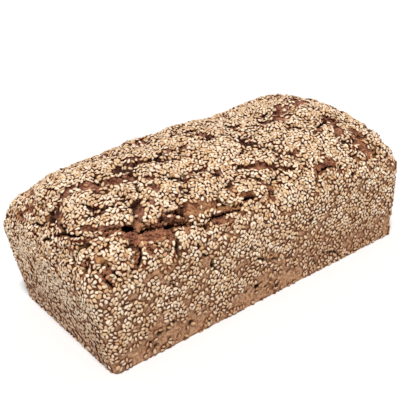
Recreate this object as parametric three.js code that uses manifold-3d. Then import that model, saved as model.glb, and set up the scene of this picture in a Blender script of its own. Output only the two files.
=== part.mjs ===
// Carrot bread: one tin-baked loaf, rolled in sesame before it was baked. The tin gave it straight
// walls that lean out a little, and the crown rose over the rim, spread and tore open in cracks.
// Millimetres, +X along the loaf, -Y towards its long front side, +Z up, standing on the plane z = 0.

import * as THREE from 'three';
import { mergeVertices } from 'three/addons/utils/BufferGeometryUtils.js';
import { MeshSurfaceSampler } from 'three/addons/math/MeshSurfaceSampler.js';
import Module from 'manifold-3d';

const wasm = await Module();
wasm.setup();

// The tin's inside, which is the loaf below the rim.
const BASE_LENGTH = 226;
const BASE_WIDTH = 122;
const RIM_HEIGHT = 53;
const WALL_LEAN = 6;
const BASE_CORNER = 3;
const RIM_CORNER = 7.5;
const FOOT_ROUNDING = 1.5;

// The crown above the rim. Its plan shrinks slowly at the ends and quickly at the sides.
const CROWN_RISE = 45.5;
const CROWN_CORNER = 36;
const END_SQUARENESS = 7.3;
const SIDE_SQUARENESS = 2;
const CROWN_CORNER_SHARE = 0.75;

// The crust is uneven: low lumps and hollows, faint on the walls and clearer on the crown.
const WALL_LUMP = 0.25;
const CROWN_LUMP = 1.1;
const LUMP_SPACING = 11;
const LUMP_SPACING_ACROSS = 1.6 * LUMP_SPACING;
const LUMP_SPACING_SLANT = 2.7 * LUMP_SPACING;
const LUMP_BEND = 1.7;
const LUMP_DRIFT = 0.6;
const LUMPS_FADE_IN = 0.8 * RIM_HEIGHT;
const LUMPS_FULL = 1.3 * RIM_HEIGHT;

// A tear heads for the core of the loaf, a line along its middle.
const CORE_HALF_LENGTH = 52;
const CORE_HEIGHT = 42;

// How finely the skin is faceted.
const WALL_LEVELS = 5;
const CROWN_LEVELS = 10;
const HIGHEST_CROWN_ANGLE = 82;
const POINTS_ALONG = 20;
const POINTS_ACROSS = 9;
const POINTS_PER_CORNER = 4;
const SHORTEST_EDGE = 0.02;

// Sesame seeds, baked on flat: teardrops, sunk in the skin.
const SEED_LENGTH = 3.6;
const SEED_WIDTH = 2.3;
const SEED_SUNK = 0.25;
const SEED_PROUD = 0.75;
const SEED_COUNT = 330;
const SEED_SPACING = 11;
const SEED_CLEAR_OF_CRACK = 2.4;
const SEED_CLEAR_OF_FOOT = 4;
const THROWS_PER_SEED = 60;
const RANDOM_SEED = 20417;

// A linear congruential generator's usual numbers.
const RANDOM_FACTOR = 1664525;
const RANDOM_STEP = 1013904223;
const RANDOM_RANGE = 2 ** 32;

// A crack's cutter stands this far out of the skin, less at its pointed ends, and its width and
// depth vary along it by this share.
const CRACK_LIFT = 3;
const CRACK_END_LIFT = 0.9;
const CRACK_VARIATION = 0.2;

// The cracks, each with the side it is seen from, its width at the skin, its depth and its route.
// A route is given as (x, z) on the front and back, (y, z) on the ends and (x, y) on the top.
const CRACKS = [
  // The long tear under the front shoulder, where the crown has lifted off the wall.
  { side: 'left', width: 5, depth: 6, route: [[-2, 67], [-17, 73], [-33, 79], [-46, 80]] },
  { side: 'front', width: 7, depth: 9, route: [[-109, 80], [-98, 81], [-87, 80], [-72, 76], [-55, 71]] },
  { side: 'front', width: 3, depth: 4, route: [[-61, 78], [-52, 76], [-41, 72]] },
  { side: 'front', width: 4, depth: 6, route: [[-47, 75], [-38, 70], [-28, 69], [-17, 68]] },
  { side: 'front', width: 3, depth: 5, route: [[-15, 72], [-9, 71], [-2, 71]] },
  { side: 'front', width: 3, depth: 4, route: [[-2, 82], [7, 78], [10, 72], [7, 60]] },
  { side: 'front', width: 3, depth: 4, route: [[45, 67], [53, 69], [62, 71]] },
  { side: 'front', width: 3, depth: 4, route: [[63, 67], [69, 69], [75, 61]] },
  { side: 'front', width: 3, depth: 4, route: [[79, 62], [84, 65], [91, 67]] },
  // Splits that run down the wall from it.
  { side: 'front', width: 3, depth: 4, route: [[-59, 73], [-61, 69], [-65, 62], [-63, 55]] },
  { side: 'front', width: 4, depth: 4, route: [[-82, 78], [-85, 69], [-91, 62], [-94, 57]] },
  { side: 'front', width: 4, depth: 5, route: [[-110, 67], [-109, 60], [-103, 55]] },
  { side: 'front', width: 2.4, depth: 4, route: [[42, 68], [42, 60]] },
  { side: 'front', width: 2.4, depth: 3, route: [[-49, 61], [-47, 52], [-42, 40]] },
  // The left end's shoulder.
  { side: 'left', width: 5, depth: 6, route: [[32, 71], [27, 80], [20, 84], [13, 88]] },
  { side: 'left', width: 4, depth: 4, route: [[-4, 79], [-14, 83], [-26, 82]] },
  // Valleys between the plates of the crown.
  { side: 'top', width: 7, depth: 4, route: [[-102, -8], [-93, -13], [-83, -20], [-70, -23], [-57, -29]] },
  { side: 'top', width: 6, depth: 4, route: [[-56, -34], [-61, -43], [-70, -46], [-79, -52]] },
  { side: 'top', width: 4, depth: 4, route: [[-67, -13], [-56, -13], [-44, -15]] },
  { side: 'top', width: 4, depth: 3, route: [[-50, -32], [-43, -37], [-34, -42]] },
  { side: 'top', width: 5, depth: 4, route: [[-9, -45], [-14, -52], [-17, -57]] },
  { side: 'top', width: 5, depth: 3, route: [[-7, 4], [-14, -12], [-23, -21]] },
  { side: 'top', width: 4, depth: 3, route: [[1, 7], [12, 1], [24, 6]] },
  { side: 'top', width: 6, depth: 3, route: [[0, -45], [12, -51], [24, -56], [34, -60]] },
  { side: 'top', width: 4, depth: 3, route: [[19, -42], [27, -45], [34, -44]] },
  { side: 'top', width: 5, depth: 4, route: [[54, -41], [48, -48], [38, -53]] },
  { side: 'top', width: 4, depth: 3, route: [[78, -10], [66, -15], [54, -22]] },
  { side: 'top', width: 4, depth: 3, route: [[50, -30], [62, -36], [74, -42]] },
  { side: 'top', width: 5, depth: 4, route: [[89, -36], [81, -46], [75, -55]] },
  { side: 'top', width: 6, depth: 6, route: [[86, -52], [93, -49], [97, -41]] },
  // The back and the right end have torn in the same way.
  { side: 'back', width: 6, depth: 7, route: [[-97, 70], [-80, 75], [-60, 78], [-38, 74], [-16, 76]] },
  { side: 'back', width: 5, depth: 6, route: [[-4, 72], [16, 76], [38, 75], [62, 78], [84, 72]] },
  { side: 'back', width: 3, depth: 4, route: [[-30, 72], [-33, 64], [-27, 54]] },
  { side: 'back', width: 3, depth: 4, route: [[50, 73], [47, 65], [53, 57]] },
  { side: 'right', width: 4, depth: 5, route: [[-34, 76], [-14, 82], [8, 84], [28, 78]] },
  { side: 'top', width: 5, depth: 4, route: [[-88, 14], [-70, 24], [-48, 28], [-30, 22]] },
  { side: 'top', width: 5, depth: 3, route: [[-34, 48], [-12, 40], [10, 44], [28, 38]] },
  { side: 'top', width: 5, depth: 4, route: [[38, 10], [56, 22], [76, 24], [92, 18]] },
];

const HALF_LENGTH = BASE_LENGTH / 2 + WALL_LEAN;
const HALF_WIDTH = BASE_WIDTH / 2 + WALL_LEAN;
const TOP_LEVEL = 2;
const HALVINGS = 30;

// A repeatable random number from 0 to 1.
let randomState = RANDOM_SEED;
function random() {
  randomState = (randomState * RANDOM_FACTOR + RANDOM_STEP) % RANDOM_RANGE;
  return randomState / RANDOM_RANGE;
}

// The loaf's plan at a level: 0 is the base, 1 the tin's rim and 2 the top of the crown.
function planAt(level) {
  const lerp = THREE.MathUtils.lerp;
  if (level <= 1) {
    const foot = FOOT_ROUNDING * Math.max(0, 1 - (level * RIM_HEIGHT) / FOOT_ROUNDING);
    return {
      z: RIM_HEIGHT * level,
      halfLength: BASE_LENGTH / 2 + WALL_LEAN * level - foot,
      halfWidth: BASE_WIDTH / 2 + WALL_LEAN * level - foot,
      corner: lerp(BASE_CORNER, RIM_CORNER, level),
    };
  }
  const rise = level - 1;
  const dome = 1 - rise ** 2;
  const halfWidth = HALF_WIDTH * dome ** (1 / SIDE_SQUARENESS);
  return {
    z: RIM_HEIGHT + CROWN_RISE * rise,
    halfLength: HALF_LENGTH * dome ** (1 / END_SQUARENESS),
    halfWidth,
    corner: Math.min(lerp(RIM_CORNER, CROWN_CORNER, rise), CROWN_CORNER_SHARE * halfWidth),
  };
}

// How far the crust stands out or in at a place: waves that cross, so that no two lumps are alike.
function lumpAt(x, y, z) {
  const a = Math.sin(x / LUMP_SPACING + LUMP_BEND * Math.sin(y / LUMP_SPACING_ACROSS));
  const b = Math.cos((y + LUMP_DRIFT * z) / LUMP_SPACING - x / LUMP_SPACING_SLANT);
  const share = THREE.MathUtils.smoothstep(z, LUMPS_FADE_IN, LUMPS_FULL);
  return a * b * THREE.MathUtils.lerp(WALL_LUMP, CROWN_LUMP, share);
}

// The way into the loaf from a point of its skin.
function inwards(point) {
  const core = new THREE.Vector3(
    THREE.MathUtils.clamp(point.x, -CORE_HALF_LENGTH, CORE_HALF_LENGTH),
    0,
    Math.min(point.z, CORE_HEIGHT),
  );
  return core.sub(point).normalize();
}

// A point of the plain form, moved onto the uneven crust. The base stays flat.
function uneven(point) {
  if (point.z === 0) return point;
  return point.addScaledVector(inwards(point), -lumpAt(point.x, point.y, point.z));
}

// The points of one level, anticlockwise from the right end: corners are arcs, sides are straight.
function ringAt(level) {
  const { z, halfLength, halfWidth, corner } = planAt(level);
  const flatX = halfLength - corner;
  const flatY = halfWidth - corner;
  const points = [];
  const add = (x, y) => points.push(uneven(new THREE.Vector3(x, y, z)));
  const addCorner = (signX, signY, startAngle) => {
    for (let i = 0; i < POINTS_PER_CORNER; i += 1) {
      const angle = startAngle + (Math.PI / 2) * (i / (POINTS_PER_CORNER - 1));
      add(signX * flatX + corner * Math.cos(angle), signY * flatY + corner * Math.sin(angle));
    }
  };
  const addSide = (fromX, fromY, toX, toY, count) => {
    for (let i = 1; i <= count; i += 1) {
      const share = i / (count + 1);
      add(fromX + (toX - fromX) * share, fromY + (toY - fromY) * share);
    }
  };
  addCorner(1, 1, 0);
  addSide(flatX, halfWidth, -flatX, halfWidth, POINTS_ALONG);
  addCorner(-1, 1, Math.PI / 2);
  addSide(-halfLength, flatY, -halfLength, -flatY, POINTS_ACROSS);
  addCorner(-1, -1, Math.PI);
  addSide(-flatX, -halfWidth, flatX, -halfWidth, POINTS_ALONG);
  addCorner(1, -1, 1.5 * Math.PI);
  addSide(halfLength, -flatY, halfLength, flatY, POINTS_ACROSS);
  return points;
}

// A closed body over rings of equal count, its two ends closed flat.
function loft(rings) {
  const count = rings[0].length;
  const points = rings.flat();
  const faces = [];
  for (let ring = 0; ring < rings.length - 1; ring += 1) {
    for (let i = 0; i < count; i += 1) {
      const a = ring * count + i;
      const b = ring * count + ((i + 1) % count);
      faces.push([a, b, b + count], [a, b + count, a + count]);
    }
  }
  const flat = (ring) => ring.map((point) => new THREE.Vector2(point.x, point.y));
  const last = (rings.length - 1) * count;
  for (const [a, b, c] of THREE.ShapeUtils.triangulateShape(flat(rings[0]), [])) {
    faces.push([a, c, b]);
  }
  for (const [a, b, c] of THREE.ShapeUtils.triangulateShape(flat(rings.at(-1)), [])) {
    faces.push([last + a, last + b, last + c]);
  }
  return toGeometry(points, faces);
}

function toGeometry(points, faces) {
  const geometry = new THREE.BufferGeometry();
  const numbers = points.flatMap((point) => point.toArray());
  geometry.setAttribute('position', new THREE.Float32BufferAttribute(numbers, 3));
  geometry.setIndex(faces.flat());
  return geometry;
}

function toSolid(geometry) {
  const bare = geometry.clone();
  bare.deleteAttribute('normal');
  bare.deleteAttribute('uv');
  const merged = mergeVertices(bare);
  return new wasm.Manifold(new wasm.Mesh({
    numProp: 3,
    vertProperties: new Float32Array(merged.attributes.position.array),
    triVerts: new Uint32Array(merged.index.array),
  }));
}

// The geometry of a solid, with the shortest edges closed up and the faces lost with them left out.
function fromSolid(solid) {
  const mesh = solid.getMesh();
  const geometry = new THREE.BufferGeometry();
  geometry.setAttribute('position', new THREE.BufferAttribute(new Float32Array(mesh.vertProperties), 3));
  geometry.setIndex(new THREE.BufferAttribute(new Uint32Array(mesh.triVerts), 1));
  const merged = mergeVertices(geometry, SHORTEST_EDGE);
  const corners = merged.index.array;
  const kept = [];
  for (let i = 0; i < corners.length; i += 3) {
    const [a, b, c] = corners.subarray(i, i + 3);
    if (a !== b && b !== c && c !== a) kept.push(a, b, c);
  }
  merged.setIndex(kept);
  return merged;
}

// How far a plan reaches along one axis, at a place on the other, with its round corner.
function reach(half, corner, otherHalf, place) {
  const past = Math.abs(place) - (otherHalf - corner);
  if (past <= 0) return half;
  if (past >= corner) return 0;
  return half - corner + Math.sqrt(corner ** 2 - past ** 2);
}

// The level whose plan passes through a point of the top, found by halving.
function levelUnder(x, y) {
  let low = 1;
  let high = TOP_LEVEL;
  for (let i = 0; i < HALVINGS; i += 1) {
    const middle = (low + high) / 2;
    const { halfLength, halfWidth, corner } = planAt(middle);
    if (Math.abs(y) < reach(halfWidth, corner, halfLength, x)) low = middle;
    else high = middle;
  }
  return low;
}

// The point of the skin that a crack's two numbers mean on its side.
function onSkin(side, a, b) {
  if (side === 'top') {
    const level = levelUnder(a, b);
    return uneven(new THREE.Vector3(a, b, planAt(level).z));
  }
  const level = b <= RIM_HEIGHT ? b / RIM_HEIGHT : 1 + (b - RIM_HEIGHT) / CROWN_RISE;
  const { halfLength, halfWidth, corner } = planAt(level);
  if (side === 'front') return uneven(new THREE.Vector3(a, -reach(halfWidth, corner, halfLength, a), b));
  if (side === 'back') return uneven(new THREE.Vector3(a, reach(halfWidth, corner, halfLength, a), b));
  const x = reach(halfLength, corner, halfWidth, a);
  return uneven(new THREE.Vector3(side === 'left' ? -x : x, a, b));
}

// A crack's cutter: a wedge that follows the route, open above the skin and pointed at both ends.
function crackCutter({ width, depth }, route) {
  const lastStation = route.length - 1;
  const points = [];
  const faces = [];
  route.forEach((point, i) => {
    const into = inwards(point);
    if (i === 0 || i === lastStation) {
      points.push(point.clone().addScaledVector(into, -CRACK_END_LIFT));
      return;
    }
    const along = route[i + 1].clone().sub(route[i - 1]);
    const across = new THREE.Vector3().crossVectors(into, along).normalize();
    const size = 1 + CRACK_VARIATION * (2 * random() - 1);
    const halfMouth = 0.5 * width * size * (1 + CRACK_LIFT / depth);
    const mouth = point.clone().addScaledVector(into, -CRACK_LIFT);
    points.push(mouth.clone().addScaledVector(across, halfMouth));
    points.push(mouth.clone().addScaledVector(across, -halfMouth));
    points.push(point.clone().addScaledVector(into, depth * size));
  });
  const start = 0;
  const end = points.length - 1;
  const station = (i) => 1 + 3 * (i - 1);
  for (let side = 0; side < 3; side += 1) {
    const next = (side + 1) % 3;
    faces.push([start, station(1) + next, station(1) + side]);
    for (let i = 1; i < lastStation - 1; i += 1) {
      const here = station(i);
      const there = station(i + 1);
      faces.push([here + side, here + next, there + next], [here + side, there + next, there + side]);
    }
    faces.push([end, station(lastStation - 1) + side, station(lastStation - 1) + next]);
  }
  const solid = toSolid(toGeometry(points, faces));
  return solid.volume() > 0 ? solid : toSolid(toGeometry(points, faces.map(([a, b, c]) => [a, c, b])));
}

// A split of only two points gets a station halfway, so that it has a width.
function withMiddle(route) {
  return route.length > 2 ? route : [route[0], route[0].clone().lerp(route[1], 0.5), route[1]];
}

function crackClearance(point, cracks) {
  const line = new THREE.Line3();
  const nearest = new THREE.Vector3();
  let clearance = Infinity;
  for (const { route, width } of cracks) {
    for (let i = 0; i < route.length - 1; i += 1) {
      line.set(route[i], route[i + 1]).closestPointToPoint(point, true, nearest);
      clearance = Math.min(clearance, nearest.distanceTo(point) - width / 2);
    }
  }
  return clearance;
}

// One seed, lying along x with its point at +x: a six-sided teardrop under a short ridge. Its foot
// is sunk in the skin.
function seedGeometry() {
  const outline = [[1, 0], [0.3, 0.62], [-0.55, 0.8], [-1, 0], [-0.55, -0.8], [0.3, -0.62]];
  const points = outline.map(([x, y]) => (
    new THREE.Vector3((x * SEED_LENGTH) / 2, (y * SEED_WIDTH) / 2, -SEED_SUNK)
  ));
  points.push(new THREE.Vector3(0.1 * SEED_LENGTH, 0, SEED_PROUD));
  points.push(new THREE.Vector3(-0.25 * SEED_LENGTH, 0, SEED_PROUD));
  const front = 6;
  const rear = 7;
  return toGeometry(points, [
    [0, 1, front], [1, 2, rear], [1, rear, front], [2, 3, rear],
    [3, 4, rear], [4, 5, rear], [5, front, rear], [5, 0, front],
    [0, 2, 1], [0, 3, 2], [0, 4, 3], [0, 5, 4],
  ]);
}

// Seeds spread evenly over the crust by throwing each at random and keeping it if none is near.
function addSeeds(loaf, crust, cracks) {
  const sampler = new MeshSurfaceSampler(new THREE.Mesh(crust.toNonIndexed()));
  sampler.setRandomGenerator(random).build();
  const seed = seedGeometry();
  const point = new THREE.Vector3();
  const normal = new THREE.Vector3();
  const up = new THREE.Vector3(0, 0, 1);
  const places = [];
  let seeded = loaf;
  for (let tries = 0; places.length < SEED_COUNT && tries < THROWS_PER_SEED * SEED_COUNT; tries += 1) {
    sampler.sample(point, normal);
    const turn = random() * 2 * Math.PI;
    const tooLow = point.z < SEED_CLEAR_OF_FOOT;
    const crowded = places.some((other) => other.distanceTo(point) < SEED_SPACING);
    if (tooLow || crowded || crackClearance(point, cracks) < SEED_CLEAR_OF_CRACK) continue;
    places.push(point.clone());
    const matrix = new THREE.Matrix4().compose(
      point,
      new THREE.Quaternion().setFromUnitVectors(up, normal)
        .multiply(new THREE.Quaternion().setFromAxisAngle(up, turn)),
      new THREE.Vector3(1, 1, 1),
    );
    seeded = seeded.add(toSolid(seed.clone().applyMatrix4(matrix)));
  }
  return seeded;
}

function loafGeometry() {
  const wall = Array.from({ length: WALL_LEVELS }, (_, i) => i / (WALL_LEVELS - 1));
  wall.splice(1, 0, FOOT_ROUNDING / RIM_HEIGHT);
  const crown = Array.from({ length: CROWN_LEVELS }, (_, i) => {
    const angle = HIGHEST_CROWN_ANGLE * ((i + 1) / CROWN_LEVELS);
    return 1 + Math.sin(THREE.MathUtils.degToRad(angle));
  });
  const crust = loft([...wall, ...crown].map(ringAt));
  const cracks = CRACKS.map((crack) => ({
    ...crack,
    route: withMiddle(crack.route.map(([a, b]) => onSkin(crack.side, a, b))),
  }));
  let loaf = toSolid(crust);
  for (const crack of cracks) loaf = loaf.subtract(crackCutter(crack, crack.route));
  return fromSolid(addSeeds(loaf, crust, cracks));
}

// The origin is the middle of the base, under the middle of the whole loaf.
function centred(geometry) {
  geometry.computeBoundingBox();
  const { min, max } = geometry.boundingBox;
  return geometry.translate(-(min.x + max.x) / 2, -(min.y + max.y) / 2, -min.z);
}

const crustMaterial = new THREE.MeshStandardMaterial({ color: 0xb08a64, roughness: 0.85, metalness: 0 });
const loaf = new THREE.Mesh(centred(loafGeometry()), crustMaterial);
loaf.name = 'loaf';

const bread = new THREE.Group();
bread.add(loaf);

export default bread;
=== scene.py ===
# %% [markdown]
# # A carrot bread, baked in a tin and rolled in sesame
#
# The real thing is one piece: a long loaf of dark, moist dough with grated carrot in it. It was rolled
# in sesame and laid in a tin, so its walls are straight and its seeds are pressed flat there. Over the
# rim the crown rose freely, and its skin tore into plates as the crumb below went on swelling.
#
# This lesson builds it in that order: the plain form, the tears, the seeds, the finishes, and then the
# light and the camera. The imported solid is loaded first. It fixes the size and the place of everything.

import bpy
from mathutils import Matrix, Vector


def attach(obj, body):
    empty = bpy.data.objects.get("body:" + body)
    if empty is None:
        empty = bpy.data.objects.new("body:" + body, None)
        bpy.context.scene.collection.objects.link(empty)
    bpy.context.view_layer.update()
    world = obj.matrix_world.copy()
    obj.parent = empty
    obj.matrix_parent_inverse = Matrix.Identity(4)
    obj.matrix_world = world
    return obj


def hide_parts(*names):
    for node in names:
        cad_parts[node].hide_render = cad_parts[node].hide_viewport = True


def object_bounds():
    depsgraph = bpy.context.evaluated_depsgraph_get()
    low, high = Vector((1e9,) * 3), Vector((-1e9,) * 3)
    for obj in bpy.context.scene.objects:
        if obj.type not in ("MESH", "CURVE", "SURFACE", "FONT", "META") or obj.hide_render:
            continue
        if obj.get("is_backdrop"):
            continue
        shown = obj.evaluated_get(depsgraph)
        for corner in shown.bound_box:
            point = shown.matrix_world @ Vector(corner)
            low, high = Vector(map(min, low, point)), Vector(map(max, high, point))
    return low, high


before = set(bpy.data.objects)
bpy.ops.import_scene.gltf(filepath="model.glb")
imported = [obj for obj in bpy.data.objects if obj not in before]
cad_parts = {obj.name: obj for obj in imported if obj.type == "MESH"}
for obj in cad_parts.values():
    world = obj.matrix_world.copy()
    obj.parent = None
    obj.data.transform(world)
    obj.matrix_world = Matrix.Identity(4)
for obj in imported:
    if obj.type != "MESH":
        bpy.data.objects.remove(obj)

# %% [markdown]
# The form is modelled with Blender's operators, and its skin is then worked on with numpy, all points at
# once. The imported solid's box is kept now, and the finished loaf's box is printed beside it at the end.

# %% Keep the size of the imported solid
import math

import bmesh
import bpy
import numpy as np
from mathutils import Matrix, Vector, kdtree, noise

cad_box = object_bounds()
bpy.ops.object.select_all(action="DESELECT")
print("packed solid:", cad_box)

# %% [markdown]
# ## The sizes
#
# A baker would describe this loaf by its tin and by how far the crown rose. All sizes are in
# millimetres, as on the drawing of the solid, and are turned to metres only when a mesh is made.

# %% The tin and the crown
MM = 0.001

BASE_LENGTH = 226
BASE_WIDTH = 122
RIM_HEIGHT = 53
WALL_LEAN = 6
BASE_CORNER = 3
RIM_CORNER = 7.5

CROWN_RISE = 45.5
CROWN_CORNER = 36
CROWN_CORNER_SHARE = 0.75
END_SQUARENESS = 7.3
SIDE_SQUARENESS = 2

HALF_LENGTH = BASE_LENGTH / 2 + WALL_LEAN
HALF_WIDTH = BASE_WIDTH / 2 + WALL_LEAN


def blend(low, high, share):
    """The value that lies a share of the way from low to high."""
    return low + (high - low) * share


def plan_at(level):
    """Height, half length, half width and corner at a level: 0 is the base, 1 the rim, 2 the top."""
    if level <= 1:
        lean = WALL_LEAN * level
        corner = blend(BASE_CORNER, RIM_CORNER, level)
        return RIM_HEIGHT * level, BASE_LENGTH / 2 + lean, BASE_WIDTH / 2 + lean, corner
    rise = level - 1
    dome = 1 - rise**2
    half_width = HALF_WIDTH * dome ** (1 / SIDE_SQUARENESS)
    corner = min(blend(RIM_CORNER, CROWN_CORNER, rise), CROWN_CORNER_SHARE * half_width)
    half_length = HALF_LENGTH * dome ** (1 / END_SQUARENESS)
    return RIM_HEIGHT + CROWN_RISE * rise, half_length, half_width, corner


print("the loaf is", 2 * HALF_LENGTH, "by", 2 * HALF_WIDTH, "by", RIM_HEIGHT + CROWN_RISE, "mm")

# %% [markdown]
# ## The plain form
#
# The tin gives rounded rectangles, and so does the crown, only with rounder corners the higher it is. A
# box with a bevel can't do that, because its corners would all be alike. So each level is a plane of its
# own, stretched to size, with its four corners bevelled. Bridges between the levels make the skin.

# %% Stack the levels
WALL_STEPS = 6
CROWN_STEPS = 16
HIGHEST_CROWN_ANGLE = 84
CORNER_STEPS = 6
TOUCHING = 1e-4

crown_angles = [math.radians(HIGHEST_CROWN_ANGLE) * (i + 1) / CROWN_STEPS for i in range(CROWN_STEPS)]
levels = [i / WALL_STEPS for i in range(WALL_STEPS + 1)] + [1 + math.sin(a) for a in crown_angles]


def add_level(level):
    """Adds one level as a plane, with its corners rounded, and leaves only its outline."""
    height, half_length, half_width, corner = plan_at(level)
    bpy.ops.mesh.primitive_plane_add(size=2, location=(0, 0, height * MM))
    bpy.ops.transform.resize(value=(half_length * MM, half_width * MM, 1))
    bpy.ops.mesh.bevel(offset=corner * MM, segments=CORNER_STEPS, affect="VERTICES")
    bpy.ops.mesh.delete(type="ONLY_FACE")


def select_at(mesh, axis, *places):
    """Selects, in edit mode, the vertices at these places on an axis and the edges between them."""
    bpy.ops.mesh.select_all(action="DESELECT")
    edit = bmesh.from_edit_mesh(mesh)
    for vertex in edit.verts:
        vertex.select = any(abs(vertex.co[axis] - place) < TOUCHING for place in places)
    edit.select_flush(True)
    bmesh.update_edit_mesh(mesh)


bpy.ops.mesh.primitive_plane_add(size=2)
loaf = bpy.context.object
loaf.name = "loaf_crust"
loaf.data.name = "loaf_crust"
bpy.ops.object.mode_set(mode="EDIT")
bpy.ops.mesh.select_mode(type="VERT")
bpy.ops.mesh.delete(type="VERT")
for level in levels:
    add_level(level)
heights = [plan_at(level)[0] * MM for level in levels]
for low, high in zip(heights, heights[1:]):
    select_at(loaf.data, 2, low, high)
    bpy.ops.mesh.bridge_edge_loops()
for end in (heights[0], heights[-1]):
    select_at(loaf.data, 2, end)
    bpy.ops.mesh.edge_face_add()
bpy.ops.mesh.select_all(action="SELECT")
bpy.ops.mesh.normals_make_consistent(inside=False)
bpy.ops.object.mode_set(mode="OBJECT")
print("plain form:", len(loaf.data.polygons), "faces from", len(levels), "levels")

# %% [markdown]
# Cracks need vertices where they run, and nobody knows where that is before they are drawn. An even
# skin all over solves it: a voxel remesh gives squares of about one millimetre, and a light smoothing
# takes away the marks of the levels.

# %% Give the form an even skin
SKIN_STEP = 1.06
SMOOTHING = 0.5
SMOOTHING_PASSES = 8


def apply_modifier(piece, kind, **settings):
    """Adds a modifier to a piece, sets it and applies it."""
    bpy.context.view_layer.objects.active = piece
    bpy.ops.object.modifier_add(type=kind)
    modifier = piece.modifiers[-1]
    for name, value in settings.items():
        setattr(modifier, name, value)
    bpy.ops.object.modifier_apply(modifier=modifier.name)


apply_modifier(loaf, "REMESH", mode="VOXEL", voxel_size=SKIN_STEP * MM, use_smooth_shade=True)
apply_modifier(loaf, "SMOOTH", factor=SMOOTHING, iterations=SMOOTHING_PASSES)
print("even skin:", len(loaf.data.polygons), "faces")

# %% [markdown]
# The base lay flat on the tin. It has no relief, so one face does for all of it. The small squares there
# are deleted, and the ring of edges that they leave is filled again.

# %% Close the base with one face
FACING_DOWN = -0.95
NEAR_BASE = 0.5

bpy.ops.object.select_all(action="DESELECT")
loaf.select_set(True)
bpy.ops.object.mode_set(mode="EDIT")
bpy.ops.mesh.select_mode(type="FACE")
bpy.ops.mesh.select_all(action="DESELECT")
edit = bmesh.from_edit_mesh(loaf.data)
for face in edit.faces:
    face.select = face.normal.z < FACING_DOWN and face.calc_center_median().z < NEAR_BASE * MM
bmesh.update_edit_mesh(loaf.data)
bpy.ops.mesh.delete(type="FACE")
bpy.ops.mesh.select_mode(type="EDGE")
bpy.ops.mesh.select_non_manifold()
edit = bmesh.from_edit_mesh(loaf.data)
for edge in edit.edges:
    if edge.select:
        for vertex in edge.verts:
            vertex.co.z = 0
bmesh.update_edit_mesh(loaf.data)
bpy.ops.mesh.edge_face_add()
bpy.ops.mesh.faces_shade_flat()
bpy.ops.object.mode_set(mode="OBJECT")
print("with a plain base:", len(loaf.data.polygons), "faces")

# %% [markdown]
# ## Lumps and tears
#
# From here the skin is shaped as a sculptor would, by pushing its points in and out, but with numbers.
# Every push goes along the line to the loaf's core, so walls move sideways and the crown moves up and
# down.

# %% Read the skin and find the way to the core
CORE_HALF_LENGTH = 52
CORE_HEIGHT = 42
# heights between which the skin starts to move freely, and between which the wall becomes crown
OFF_BASE = (0.3, 3)
WALL_TO_CROWN = (0.85 * RIM_HEIGHT, 1.35 * RIM_HEIGHT)


def read_threes(elements, name, number_type):
    """What each of a mesh's elements says under a name, as rows of three numbers."""
    flat = np.empty(3 * len(elements), number_type)
    elements.foreach_get(name, flat)
    return flat.reshape(-1, 3)


def points_of(mesh):
    """A mesh's vertices, in millimetres."""
    return read_threes(mesh.vertices, "co", np.float32).astype(float) / MM


def smooth_step(low, high, values):
    """0 below low, 1 above high and a soft ramp between them."""
    share = np.clip((values - low) / (high - low), 0, 1)
    return share * share * (3 - 2 * share)


def unit(ways):
    """The same ways, each one long."""
    return ways / np.linalg.norm(ways, axis=1, keepdims=True)


def inwards(points):
    """The unit way from each point into the loaf."""
    core = np.array(points, float)
    core[:, 0] = np.clip(core[:, 0], -CORE_HALF_LENGTH, CORE_HALF_LENGTH)
    core[:, 1] = 0
    core[:, 2] = np.minimum(core[:, 2], CORE_HEIGHT)
    return unit(core - points)


plain = points_of(loaf.data)
into = inwards(plain)
off_base = smooth_step(*OFF_BASE, plain[:, 2])
crown = smooth_step(*WALL_TO_CROWN, plain[:, 2])
print(len(plain), "points of the skin,", int((crown > 0.5).sum()), "of them on the crown")

# %% [markdown]
# The first push gives the crust its broad, low lumps, from a few waves that run through one another. The
# smaller and more ragged things come from Blender's own cloudy noise, each from another part of it.

# %% Lumps and clouds
WALL_LUMP = 0.25
CROWN_LUMP = 1.1
LUMP_SPACING = 11
LUMP_SPACING_ACROSS = 1.6 * LUMP_SPACING
LUMP_SPACING_SLANT = 2.7 * LUMP_SPACING
LUMP_BEND = 1.7
LUMP_DRIFT = 0.6
LUMPS_FADE_IN = 0.8 * RIM_HEIGHT
LUMPS_FULL = 1.3 * RIM_HEIGHT
# each finer layer of a cloud pattern is as many times finer as the step, and weaker by the decay
CLOUD_STEP = 2.0
CLOUD_DECAY = 1.0
# where each cloud pattern is read from, so that no two of them are alike
START = {
    "wide swings": 50,
    "small swings": 400,
    "tear depth": 800,
    "crumb": 120,
    "ragged edges": 350,
    "thin patches": 600,
    "crazing": 500,
    "skin ripple": 700,
    "bare ripple": 900,
}


def lump_at(points):
    """How far the crust stands out at each point."""
    x, y, z = points.T
    along = np.sin(x / LUMP_SPACING + LUMP_BEND * np.sin(y / LUMP_SPACING_ACROSS))
    across = np.cos((y + LUMP_DRIFT * z) / LUMP_SPACING - x / LUMP_SPACING_SLANT)
    risen = smooth_step(LUMPS_FADE_IN, LUMPS_FULL, z)
    return along * across * blend(WALL_LUMP, CROWN_LUMP, risen)


def clouds(points, size, octaves=3):
    """Cloudy noise from about -1 to 1 at each point; size is the clouds' width in millimetres."""
    layers = CLOUD_DECAY, CLOUD_STEP, octaves
    return np.array([noise.fractal(Vector(p), *layers) for p in points / size])


print("lumps stand out up to", round(float(lump_at(plain).max()), 2), "mm")

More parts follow.
